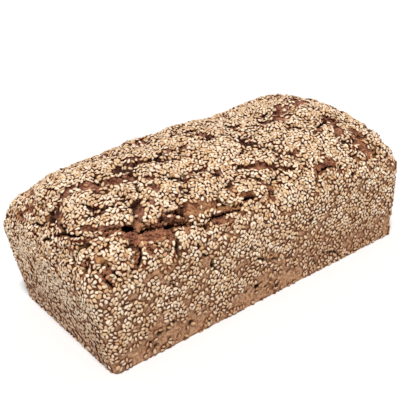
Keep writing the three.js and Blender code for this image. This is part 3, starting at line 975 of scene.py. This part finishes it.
spacing = blend(WALL_SPACING, CROWN_SPACING, thrown_crown)
spacing[on_base] = BASE_SPACING
strays = (rng.random(THROWS) < STRAY_SHARE) & (thrown_raw < MOST_RAW)
sticks = (thrown_bare < MOST_BARE) | strays
rubbed = rng.random(THROWS) < thrown_thin
tried = with_room(np.flatnonzero(sticks), spacing)
kept = tried[~rubbed[tried]]
print(len(kept), "seeds,", round(100 * len(kept) / areas.sum(), 1), "on a square centimetre")

# %% [markdown]
# The skin right beside each seed lies in the seed's shade, and that shade is painted into the skin's
# colour. So the skin keeps one more number, which is 1 beside a seed and 0 where the nearest seed's
# middle is far away.

# %% Paint shade on the skin beside the seeds
# within these distances of a seed's middle the skin is painted with the seed's shade
SEED_SHADE_NEAR = 1.4
SEED_SHADE_FAR = 2.2
SEED_SHADE_BARE = 0.6

seed_tree = tree_of(thrown[kept])
to_seed = np.array([seed_tree.find(point)[2] for point in skin])
# painted shade: 1 right beside a seed, fading out farther away and on bare places
seed_shade = (1 - smooth_step(0, SEED_SHADE_BARE, bare)) * (1 - smooth_step(SEED_SHADE_NEAR, SEED_SHADE_FAR, to_seed))
keep(loaf.data, "seed_shade", seed_shade)
print("stained skin:", round(100 * float(seed_shade.mean())), "%")

# %% [markdown]
# A seed would rather lie beside its neighbour than on it. So each seed tries a few directions and takes
# the one in which it overlaps its neighbours least. This is done for all seeds together, a few times
# over, because each turn changes what the neighbours see. Beside a crack, a direction also counts as
# worse if the seed's ends would hang over it, so the seeds there line up with its edge.

# %% Turn the seeds
DIRECTIONS = 8
TURNING_PASSES = 3
NEIGHBOURS = 7
CRACK_DISLIKE = 3
END_PROBE = 1.3

place = thrown[kept]
normal = thrown_normal[kept]
side_way = unit(np.cross(normal, rng.standard_normal((len(kept), 3))))
other_way = np.cross(normal, side_way)
near = np.array([[i for _, i, _ in seed_tree.find_n(p, NEIGHBOURS + 1)][1:] for p in place])
first_angle = rng.random(len(kept)) * 2 * math.pi


def heading(step):
    """The way each seed's tip points after its number of steps of the half turn."""
    angles = first_angle + math.pi * step / DIRECTIONS
    return np.cos(angles)[:, None] * side_way + np.sin(angles)[:, None] * other_way


skin_tree = tree_of(skin)
by_crack = np.flatnonzero(spread(edging)[kept] > 0.5)
over_crack = np.zeros((DIRECTIONS, len(kept)))
for step in range(DIRECTIONS):
    half_seed = END_PROBE * heading(step)[by_crack]
    for ends in (place[by_crack] + half_seed, place[by_crack] - half_seed):
        over_crack[step, by_crack] += [bare[skin_tree.find(point)[1]] for point in ends]

to_neighbour = place[near] - place[:, None, :]
gap_size = np.linalg.norm(to_neighbour, axis=2)
to_neighbour /= gap_size[:, :, None]
chosen_step = np.zeros(len(kept), int)
for _ in range(TURNING_PASSES):
    their_reach = np.einsum("ijk,ijk->ij", heading(chosen_step)[near], to_neighbour) ** 2
    least = np.full(len(kept), np.inf)
    for step in range(DIRECTIONS):
        own_reach = np.einsum("ik,ijk->ij", heading(step), to_neighbour) ** 2
        needed = blend(SEED_WIDTH, SEED_LENGTH, (own_reach + their_reach) / 2)
        overlap = (np.clip(needed - gap_size, 0, None) ** 2).sum(axis=1)
        overlap += CRACK_DISLIKE * over_crack[step]
        better = overlap < least
        least[better] = overlap[better]
        chosen_step[better] = step
print(len(by_crack), "seeds beside cracks; mean overlap measure", round(float(least.mean()), 3))

# %% [markdown]
# On the crown the seeds stand at all tilts and lie over each other's edges. Against the tin they were
# pressed into the dough, so little more than their backs shows. That difference is much of what makes the
# walls look smoother than the crown. Dough also smeared over the seeds there, most of all low down and on
# the thin places: `film` says how much of it each seed has.

# %% Tilt, sink and size the seeds
CROWN_TILT = math.radians(12)
WALL_TILT = math.radians(7)
CROWN_PROUD = 0.5
WALL_PROUD = 0.45
PROUD_SCATTER = 0.1
WALL_SCATTER_SHARE = 0.5
FILM_WALL = 0.04
FILM_LOW = 0.4
FILM_THIN = 0.45
FILM_SCATTER = 0.12
BASE_PROUD = -0.5
# the most that a seed tilts, in times the tilt of its part of the crust
MOST_TILT = 2
# scatter, smallest and largest value of the seeds' size and fatness
SIZE_SPREAD = (0.08, 0.8, 1.25)
FATNESS_SPREAD = (0.09, 0.75, 1.25)
LOW_ON_WALL = (4, 42)

seed_crown = thrown_crown[kept]
seed_base = on_base[kept]
tilt = blend(WALL_TILT, CROWN_TILT, seed_crown)
tilt[seed_base] = 0
proud = blend(WALL_PROUD, CROWN_PROUD, seed_crown)
proud += rng.normal(0, PROUD_SCATTER, len(kept)) * (WALL_SCATTER_SHARE + seed_crown)
proud[seed_base] = BASE_PROUD


def tilted(way):
    """A way in the skin's plane, tilted out of it by each seed's own random share of its tilt."""
    slope = np.tan(np.clip(rng.normal(0, 1, len(kept)), -MOST_TILT, MOST_TILT) * tilt)
    return way + normal * slope[:, None]


def scattered(scatter, least, most):
    """A factor near 1 for each seed."""
    return np.clip(rng.normal(1, scatter, len(kept)), least, most)


tip = unit(tilted(heading(chosen_step)))
across = tilted(np.cross(normal, heading(chosen_step)))
across = unit(across - tip * np.einsum("ij,ij->i", across, tip)[:, None])
back = np.cross(tip, across)
size = scattered(*SIZE_SPREAD)
fatness = scattered(*FATNESS_SPREAD)
tone = rng.random(len(kept))
low_on_wall = (1 - smooth_step(*LOW_ON_WALL, place[:, 2])) * (1 - seed_crown)
film = FILM_WALL * (1 - seed_crown) + FILM_LOW * low_on_wall + FILM_THIN * thrown_thin[kept]
film = np.clip(film + FILM_SCATTER * rng.standard_normal(len(kept)), 0, 1)
print("seeds stand", round(float(proud.mean()), 2), "mm out on average")

# %% [markdown]
# Thousands of objects would be slow, so the copies are joined into a few meshes, which are made straight
# from arrays. All faces of all copies are alike, apart from the number at which a copy's corners start.

# %% Join copies into one mesh
def join_copies(name, points, faces, numbers):
    """One mesh from points given as copies x corners x 3, all with the same faces and their numbers."""
    count, corner_count = points.shape[:2]
    flat = np.concatenate([np.array(face) for face in faces])
    loops = (flat[None] + corner_count * np.arange(count)[:, None]).ravel()
    totals = np.tile([len(face) for face in faces], count)
    mesh = bpy.data.meshes.new(name)
    mesh.vertices.add(count * corner_count)
    mesh.loops.add(len(loops))
    mesh.polygons.add(len(totals))
    mesh.vertices.foreach_set("co", (points * MM).astype(np.float32).ravel())
    mesh.loops.foreach_set("vertex_index", loops.astype(np.int32))
    loop_starts = np.cumsum(totals) - totals
    mesh.polygons.foreach_set("loop_start", loop_starts.astype(np.int32))
    mesh.polygons.foreach_set("loop_total", totals.astype(np.int32))
    mesh.polygons.foreach_set("use_smooth", np.ones(len(totals), bool))
    mesh.update(calc_edges=True)
    for number_name, values in numbers.items():
        keep(mesh, number_name, np.broadcast_to(values, (count, corner_count)).ravel())
    piece = bpy.data.objects.new(name, mesh)
    bpy.context.scene.collection.objects.link(piece)
    print(name, count, "copies,", int((totals - 2).sum()), "triangles")
    return piece


# %% [markdown]
# Each part of the crust gets a mesh of its own, so that none grows too large. Each vertex keeps its
# seed's `tone`, from pale to toasted, its seed's `film` of dough, and its own `height` on the seed's
# back, because the finish paints shade on the low edge that touches the dough.

# %% Sow the seeds
def sow(name, chosen):
    """One mesh with a copy of the seed at each chosen place."""
    width_scale = np.ones((int(chosen.sum()), 1, 3))
    width_scale[:, 0, 1] = fatness[chosen]
    shape = seed_points[None] * size[chosen, None, None] * width_scale
    turn = np.stack([tip[chosen], across[chosen], back[chosen]], axis=1)
    points = np.einsum("nvi,nij->nvj", shape, turn)
    points += (place[chosen] + normal[chosen] * proud[chosen, None])[:, None, :]
    points[:, :, 2] = np.maximum(points[:, :, 2], 0)
    numbers = {
        "tone": tone[chosen, None],
        "film": film[chosen, None],
        "height": (0.5 + seed_points[:, 2] / SEED_THICKNESS)[None],
    }
    return join_copies(name, points, seed_faces, numbers)


in_crown = (seed_crown > 0.5) & ~seed_base
on_wall = ~in_crown & ~seed_base
x, y, _ = place.T
on_end = on_wall & (np.abs(normal[:, 0]) > np.abs(normal[:, 1]))
groups = {
    "sesame_crown_left": in_crown & (x < 0),
    "sesame_crown_right": in_crown & (x >= 0),
    "sesame_front_wall": on_wall & ~on_end & (y < 0),
    "sesame_back_wall": on_wall & ~on_end & (y >= 0),
    "sesame_ends": on_end,
    "sesame_base": seed_base,
}
sesame = [sow(name, chosen) for name, chosen in groups.items()]

# %% [markdown]
# ## The crumb in the tears
#
# Where the dough tore, its crumb came apart in little lumps that hang on threads. The skin's own relief
# is too coarse for them. So one lump is modelled from a small sphere with few faces, and copies of it,
# all of other sizes and turns, lie close together on the raw places.

# %% Model one lump of crumb
CRUMB_SIZE = 2.1
CRUMB_SPACING = 1.5
CRUMB_STRETCH = 0.3
CRUMB_SUNK = 0.15
CRUMB_JITTER = 0.2
LEAST_RAW = 0.35
MOST_CRACK_SHADE = 0.55

bpy.ops.mesh.primitive_ico_sphere_add(subdivisions=1, radius=CRUMB_SIZE * MM / 2)
lump = bpy.context.object
lump_points = points_of(lump.data)
lump_faces = [tuple(face.vertices) for face in lump.data.polygons]
bpy.data.objects.remove(lump)

thrown_crack_shade = spread(crack_shade)
is_torn = (thrown_raw > LEAST_RAW) & (thrown_crack_shade < MOST_CRACK_SHADE)
torn = with_room(np.flatnonzero(is_torn), np.full(THROWS, CRUMB_SPACING))
stretch = np.exp(CRUMB_STRETCH * rng.standard_normal((len(torn), 1, 3)))
jitter = 1 + CRUMB_JITTER * rng.standard_normal((len(torn), len(lump_points), 1))
spin = np.linalg.qr(rng.standard_normal((len(torn), 3, 3)))[0]
spin *= np.linalg.det(spin)[:, None, None]
points = np.einsum("nvi,nij->nvj", lump_points[None] * stretch * jitter, spin)
points += (thrown[torn] - CRUMB_SUNK * thrown_normal[torn])[:, None, :]
crumb_numbers = {"tone": rng.random((len(torn), 1)), "crack_shade": thrown_crack_shade[torn, None]}
crumb = join_copies("torn_crumb", points, lump_faces, crumb_numbers)

# %% [markdown]
# ## The finishes
#
# Colours are picked as sRGB hex values, as a colour picker shows them. Blender mixes light in linear
# numbers, so one function turns them over. Another adds a node with its settings and links, and hands
# back the output that the next node needs. The last one puts a finished look on the pieces.

# %% Colour and node helpers
def linear(hex_colour):
    """A linear RGBA colour from an sRGB hex value."""
    channels = [int(hex_colour[i : i + 2], 16) / 255 for i in (1, 3, 5)]
    return (*[c / 12.92 if c <= 0.04045 else ((c + 0.055) / 1.055) ** 2.4 for c in channels], 1)


def add_node(tree, kind, inputs=None, output=0, **settings):
    """Adds a node, fills its sockets with values or links, and returns one of its outputs."""
    node = tree.nodes.new(kind)
    for name, value in settings.items():
        setattr(node, name, value)
    for name, value in (inputs or {}).items():
        if isinstance(value, bpy.types.NodeSocket):
            tree.links.new(value, node.inputs[name])
        else:
            node.inputs[name].default_value = value
    return node.outputs[output]


def new_material(name):
    """An empty material and its tree of nodes."""
    material = bpy.data.materials.new(name)
    material.use_nodes = True
    material.node_tree.nodes.clear()
    return material, material.node_tree


def dress(pieces, material, look):
    """Ends a material with its shader and its output, and puts it on the pieces."""
    tree = material.node_tree
    shader = add_node(tree, "ShaderNodeBsdfPrincipled", look)
    output = tree.nodes.new("ShaderNodeOutputMaterial")
    tree.links.new(shader, output.inputs["Surface"])
    for piece in pieces:
        piece.data.materials.append(material)
    print(material.name, "has", len(tree.nodes), "nodes; pieces:", len(pieces))


COORDINATES = "ShaderNodeTexCoord"
ATTRIBUTE = "ShaderNodeAttribute"
RANGE = "ShaderNodeMapRange"
NOISE = "ShaderNodeTexNoise"
BUMP = "ShaderNodeBump"
MIX = "ShaderNodeMix"
# a mix of colours has its colours on the sockets 6 and 7, and its result on output 2
COLOUR = {"data_type": "RGBA", "output": 2}
print("a middle grey, #808080, is", round(linear("#808080")[0], 3), "in linear light")

# %% [markdown]
# ### Baked crust of a dark dough
#
# The skin of the crown dried and browned in the open oven: purplish brown and leathery, and more golden
# at the shoulders below it. The walls baked against steel and stayed paler, a tan with small pores, whose
# shade is painted as dark dots. Beside the seeds, shade is painted into the skin as a dark reddish brown.
# Where the crust tore, the raw crumb is orange-brown from the carrot, and the depth of a crack is painted
# nearly black, as shade. All of it is matt. Two cloudy patterns, one of broad patches and one of fine
# grain, give every kind of skin its uneven tone.

# %% The crust's masks and patterns
MOTTLE_SIZE = 8
GRAIN_SIZE = 1.6
PORE_SPACING = 3.6

crust, tree = new_material("baked_crust_of_dark_dough")
spot = add_node(tree, COORDINATES, output="Object")
is_crown, is_raw, is_crack_shade, in_seed_shade = (
    add_node(tree, ATTRIBUTE, output="Fac", attribute_name=name)
    for name in ("crown", "raw", "crack_shade", "seed_shade")
)
mottle = add_node(tree, NOISE, {"Vector": spot, "Scale": 1 / (MOTTLE_SIZE * MM), "Detail": 4})
grain = add_node(tree, NOISE, {"Vector": spot, "Scale": 1 / (GRAIN_SIZE * MM), "Detail": 3})
mottled = add_node(tree, RANGE, {"Value": mottle, "From Min": 0.35, "From Max": 0.66})
grained = add_node(tree, RANGE, {"Value": grain, "From Min": 0.38, "From Max": 0.68})
tint = add_node(tree, "ShaderNodeMath", {0: mottled, 1: grained}, operation="ADD")
tinted = add_node(tree, RANGE, {"Value": tint, "From Min": 0.45, "From Max": 1.55})
# painted shade: small dark dots stand for the shade inside pores too small to model
pores = add_node(tree, "ShaderNodeTexVoronoi", {"Vector": spot, "Scale": 1 / (PORE_SPACING * MM)})
is_pore_dot_shade = add_node(tree, RANGE, {"Value": pores, "From Min": 0.13, "From Max": 0.08})
print(crust.name, "has", len(tree.nodes), "nodes for its patterns")

# %% [markdown]
# Each kind of skin is a mix of two tones, a dark and a light one. The kinds are then laid over one
# another like coats of paint, each through the mask that says where it is: the painted shade of the pores
# and the crown over the wall, the painted shade beside the seeds over both, then the raw crumb, and the
# painted shade in the depths of the cracks last.

# %% The crust's coats
SHOULDER_LOW = 72
SHOULDER_HIGH = 84
# the share of the painted shade beside the seeds that the walls get
WALL_SEED_SHADE_SHARE = 0.72
# the colour of the painted shade in those small pores
PORE_DOT_SHADE = "#553324"
# the black that is painted as shade in the depths of cracks, creases and pores
CRACK_SHADE_BLACK = "#1d0d0a"
GRAIN_RELIEF = 1.1

tones = {
    "crown": (tinted, "#633727", "#b47d65"),
    "shoulder": (tinted, "#7a4a30", "#c4935f"),
    "wall": (grained, "#9a6d4f", "#d8ad88"),
    # painted shade beside the seeds, a dark reddish brown
    "gap_shade": (grained, "#3c0e05", "#7a3218"),
    "crumb": (grained, "#774532", "#c48e68"),
}
skins = {
    name: add_node(tree, MIX, {0: share, 6: linear(dark_tone), 7: linear(light_tone)}, **COLOUR)
    for name, (share, dark_tone, light_tone) in tones.items()
}
height = add_node(tree, "ShaderNodeSeparateXYZ", {0: spot}, output=2)
shoulder = {"From Min": SHOULDER_LOW * MM, "From Max": SHOULDER_HIGH * MM, "To Min": 0.15}
is_high = add_node(tree, RANGE, {"Value": height, **shoulder})
dome_skin = add_node(tree, MIX, {0: is_high, 6: skins["shoulder"], 7: skins["crown"]}, **COLOUR)
# painted shade beside the seeds, weaker on the walls than on the crown
seed_shade_share = add_node(tree, RANGE, {"Value": is_crown, "To Min": WALL_SEED_SHADE_SHARE, "To Max": 1})
is_seed_shaded = add_node(tree, "ShaderNodeMath", {0: in_seed_shade, 1: seed_shade_share}, operation="MULTIPLY")
coats = [
    (is_pore_dot_shade, linear(PORE_DOT_SHADE)),
    (is_crown, dome_skin),
    (is_seed_shaded, skins["gap_shade"]),
    (is_raw, skins["crumb"]),
    (is_crack_shade, linear(CRACK_SHADE_BLACK)),
]
colour = skins["wall"]
for share, over in coats:
    colour = add_node(tree, MIX, {0: share, 6: colour, 7: over}, **COLOUR)
dryness = add_node(tree, RANGE, {"Value": mottle, "To Min": 0.6, "To Max": 0.9})
bump = add_node(tree, BUMP, {"Strength": 0.8, "Distance": GRAIN_RELIEF * MM, "Height": grain})
look = {"Base Color": colour, "Roughness": dryness, "Normal": bump}
dress([loaf], crust, {**look, "IOR": 1.45, "Specular IOR Level": 0.06})

# %% [markdown]
# ### Torn crumb
#
# Crumb is a sponge, so it has hardly any shine. The lumps are golden or orange-brown from the carrot,
# with purplish patches, and shade is painted on them, darker towards the bottom of a tear. Its small
# holes are only a bump.

# %% The crumb
CRUMB_ORANGE = "#a8694d"
CRUMB_GOLD = "#c8946b"
CRUMB_PURPLE = "#845243"
CRUMB_SHADE = "#2a130d"
CRUMB_PATCH = 5
CRUMB_HOLES = 0.7
CRUMB_RELIEF = 0.4

sponge, tree = new_material("torn_carrot_crumb")
spot = add_node(tree, COORDINATES, output="Object")
is_golden, in_deep_shade = (
    add_node(tree, ATTRIBUTE, output="Fac", attribute_name=name) for name in ("tone", "crack_shade")
)
patches = add_node(tree, NOISE, {"Vector": spot, "Scale": 1 / (CRUMB_PATCH * MM), "Detail": 3})
is_purple = add_node(tree, RANGE, {"Value": patches, "From Min": 0.42, "From Max": 0.62, "To Max": 0.9})
colour = linear(CRUMB_ORANGE)
# painted shade: lumps deep in a crack are painted darker
for share, over in ((is_golden, CRUMB_GOLD), (is_purple, CRUMB_PURPLE), (in_deep_shade, CRUMB_SHADE)):
    colour = add_node(tree, MIX, {0: share, 6: colour, 7: linear(over)}, **COLOUR)
holes = add_node(tree, NOISE, {"Vector": spot, "Scale": 1 / (CRUMB_HOLES * MM), "Detail": 2})
bump = add_node(tree, BUMP, {"Strength": 0.7, "Distance": CRUMB_RELIEF * MM, "Height": holes})
look = {"Base Color": colour, "Roughness": 0.95, "Normal": bump}
dress([crumb], sponge, {**look, "IOR": 1.4, "Specular IOR Level": 0.1})

# %% [markdown]
# ### Toasted sesame
#
# The hull of a sesame seed is thin and waxy, with a satin shine. Most seeds are cream, some are golden
# and a few are toasted brown. The edge where each one meets the dough is painted dark, as shade, and its
# back stays pale. Seeds pressed against the tin also took a thin film of dough, which mutes them.

# %% The seeds
SESAME_PALE = "#ffebcf"
SESAME_GOLDEN = "#e6c296"
SESAME_TOASTED = "#cb9b6e"
DOUGH_FILM = "#b78961"
# the reddish brown painted as shade on each seed's low edge
SESAME_EDGE_SHADE = "#76300f"
STREAK_SIZE = 0.8
STREAK_RELIEF = 0.1

hull, tree = new_material("toasted_sesame_hull")
spot = add_node(tree, COORDINATES, output="Object")
seed_tone, seed_height, is_filmed = (
    add_node(tree, ATTRIBUTE, output="Fac", attribute_name=name) for name in ("tone", "height", "film")
)
is_golden = add_node(tree, RANGE, {"Value": seed_tone, "From Min": 0.1, "From Max": 0.75})
is_toasted = add_node(tree, RANGE, {"Value": seed_tone, "From Min": 0.88, "From Max": 1.0})
# painted shade: the lower a vertex lies on its seed, the more of that colour it gets
edge = {"From Min": 0.82, "From Max": 0.5, "To Max": 0.95}
is_edge_shade = add_node(tree, RANGE, {"Value": seed_height, **edge})
coats = [
    (is_golden, SESAME_GOLDEN),
    (is_toasted, SESAME_TOASTED),
    (is_filmed, DOUGH_FILM),
    (is_edge_shade, SESAME_EDGE_SHADE),
]
colour = linear(SESAME_PALE)
for share, over in coats:
    colour = add_node(tree, MIX, {0: share, 6: colour, 7: linear(over)}, **COLOUR)
streaks = add_node(tree, NOISE, {"Vector": spot, "Scale": 1 / (STREAK_SIZE * MM), "Detail": 2})
bump = add_node(tree, BUMP, {"Strength": 0.25, "Distance": STREAK_RELIEF * MM, "Height": streaks})
look = {"Base Color": colour, "Roughness": 0.4, "Normal": bump}
dress(sesame, hull, {**look, "IOR": 1.47, "Specular IOR Level": 0.25})

# %% [markdown]
# ## Put the pieces on the frame
#
# The loaf has no moving parts, so everything rides on the one body. The dressed crust stands for the
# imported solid, which is then hidden.

# %% Ride on the root body
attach(loaf, "root")
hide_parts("loaf")
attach(crumb, "root")
for piece in sesame:
    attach(piece, "root")
print(2 + len(sesame), "pieces ride on the root body")

# %% [markdown]
# ## The floor, the light and the camera
#
# The loaf stands in a bright white studio, on a sheet of white paper. Paper is quite matt, so it takes
# only a colour, and it is so wide that its edge is out of the camera's sight.

# %% Floor
FLOOR_SIZE = 30
FLOOR_WHITE = "#f0f0f0"

bpy.ops.object.select_all(action="DESELECT")
bpy.ops.mesh.primitive_plane_add(size=FLOOR_SIZE, location=(0, 0, 0))
floor = bpy.context.object
floor.name = "floor"
paper, _ = new_material("white_paper_floor")
dress([floor], paper, {"Base Color": linear(FLOOR_WHITE), "Roughness": 1.0})
floor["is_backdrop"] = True

# %% [markdown]
# A soft sun stands high above, a little to the front and the left, and brightens the crown, and the white
# surroundings fill the walls. A shop photograph like this one is printed with its colours as they are, so
# the plain view transform is used and not the filmic one, which would grey the white.

# %% Light
SKY_STRENGTH = 0.38
SUN_STRENGTH = 2.82
SUN_SOFTNESS = math.radians(10)
SUN_AZIMUTH = math.radians(-26)
SUN_ELEVATION = math.radians(70)


def direction(azimuth, elevation):
    """The unit way to a thing at an azimuth, counted from the front, and an elevation."""
    x = math.sin(azimuth) * math.cos(elevation)
    y = -math.cos(azimuth) * math.cos(elevation)
    return Vector((x, y, math.sin(elevation)))


bpy.context.scene.view_settings.view_transform = "Standard"
world = bpy.data.worlds.new("white_studio")
bpy.context.scene.world = world
world.use_nodes = True
sky = world.node_tree.nodes["Background"]
sky.inputs["Color"].default_value = (1, 1, 1, 1)
sky.inputs["Strength"].default_value = SKY_STRENGTH
bpy.ops.object.light_add(type="SUN")
sun = bpy.context.object
sun.name = "studio_light"
sun.data.energy = SUN_STRENGTH
sun.data.angle = SUN_SOFTNESS
to_sun = direction(SUN_AZIMUTH, SUN_ELEVATION)
sun.rotation_euler = (-to_sun).to_track_quat("-Z", "Y").to_euler()
print("the sun stands towards", [round(number, 2) for number in to_sun])

# %% [markdown]
# The camera was found by fitting the plain form to the photograph's outline. It looks down from the near
# left corner, a little rolled. Its focal length is given in pixels of the square picture.

# %% Camera
PICTURE_SIZE = 400
FOCAL_LENGTH = 742.5
SENSOR_WIDTH = 36
AZIMUTH = math.radians(-32.28)
ELEVATION = math.radians(24.37)
ROLL = math.radians(-7.81)
CAMERA_PLACE = Vector((-244.4, -381.8, 255.1)) * MM
NEAREST_SEEN = 10

behind = direction(AZIMUTH, ELEVATION)
level_right = Vector((math.cos(AZIMUTH), math.sin(AZIMUTH), 0))
level_up = behind.cross(level_right)
right = math.cos(ROLL) * level_right + math.sin(ROLL) * level_up
up = behind.cross(right)
bpy.ops.object.camera_add()
camera = bpy.context.object
camera.name = "camera"
camera.data.lens = SENSOR_WIDTH * FOCAL_LENGTH / PICTURE_SIZE
camera.data.sensor_width = SENSOR_WIDTH
camera.data.clip_start = NEAREST_SEEN * MM
turned = Matrix((right, up, behind)).transposed().to_4x4()
camera.matrix_world = Matrix.Translation(CAMERA_PLACE) @ turned
bpy.context.scene.camera = camera
print("lens:", round(camera.data.lens, 2), "mm")

# %% [markdown]
# The dressed loaf has to keep to the imported solid's size. Only the tips of a few seeds stand past its
# box, by less than a millimetre. Both boxes are printed, so that they can be compared at any time.

# %% Print the size of the imported solid and of the dressed loaf
bpy.context.view_layer.update()


for name, box in {"packed solid": cad_box, "dressed loaf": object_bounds()}.items():
    print(name, [round((high - low) / MM, 1) for low, high in zip(*box)], "mm")
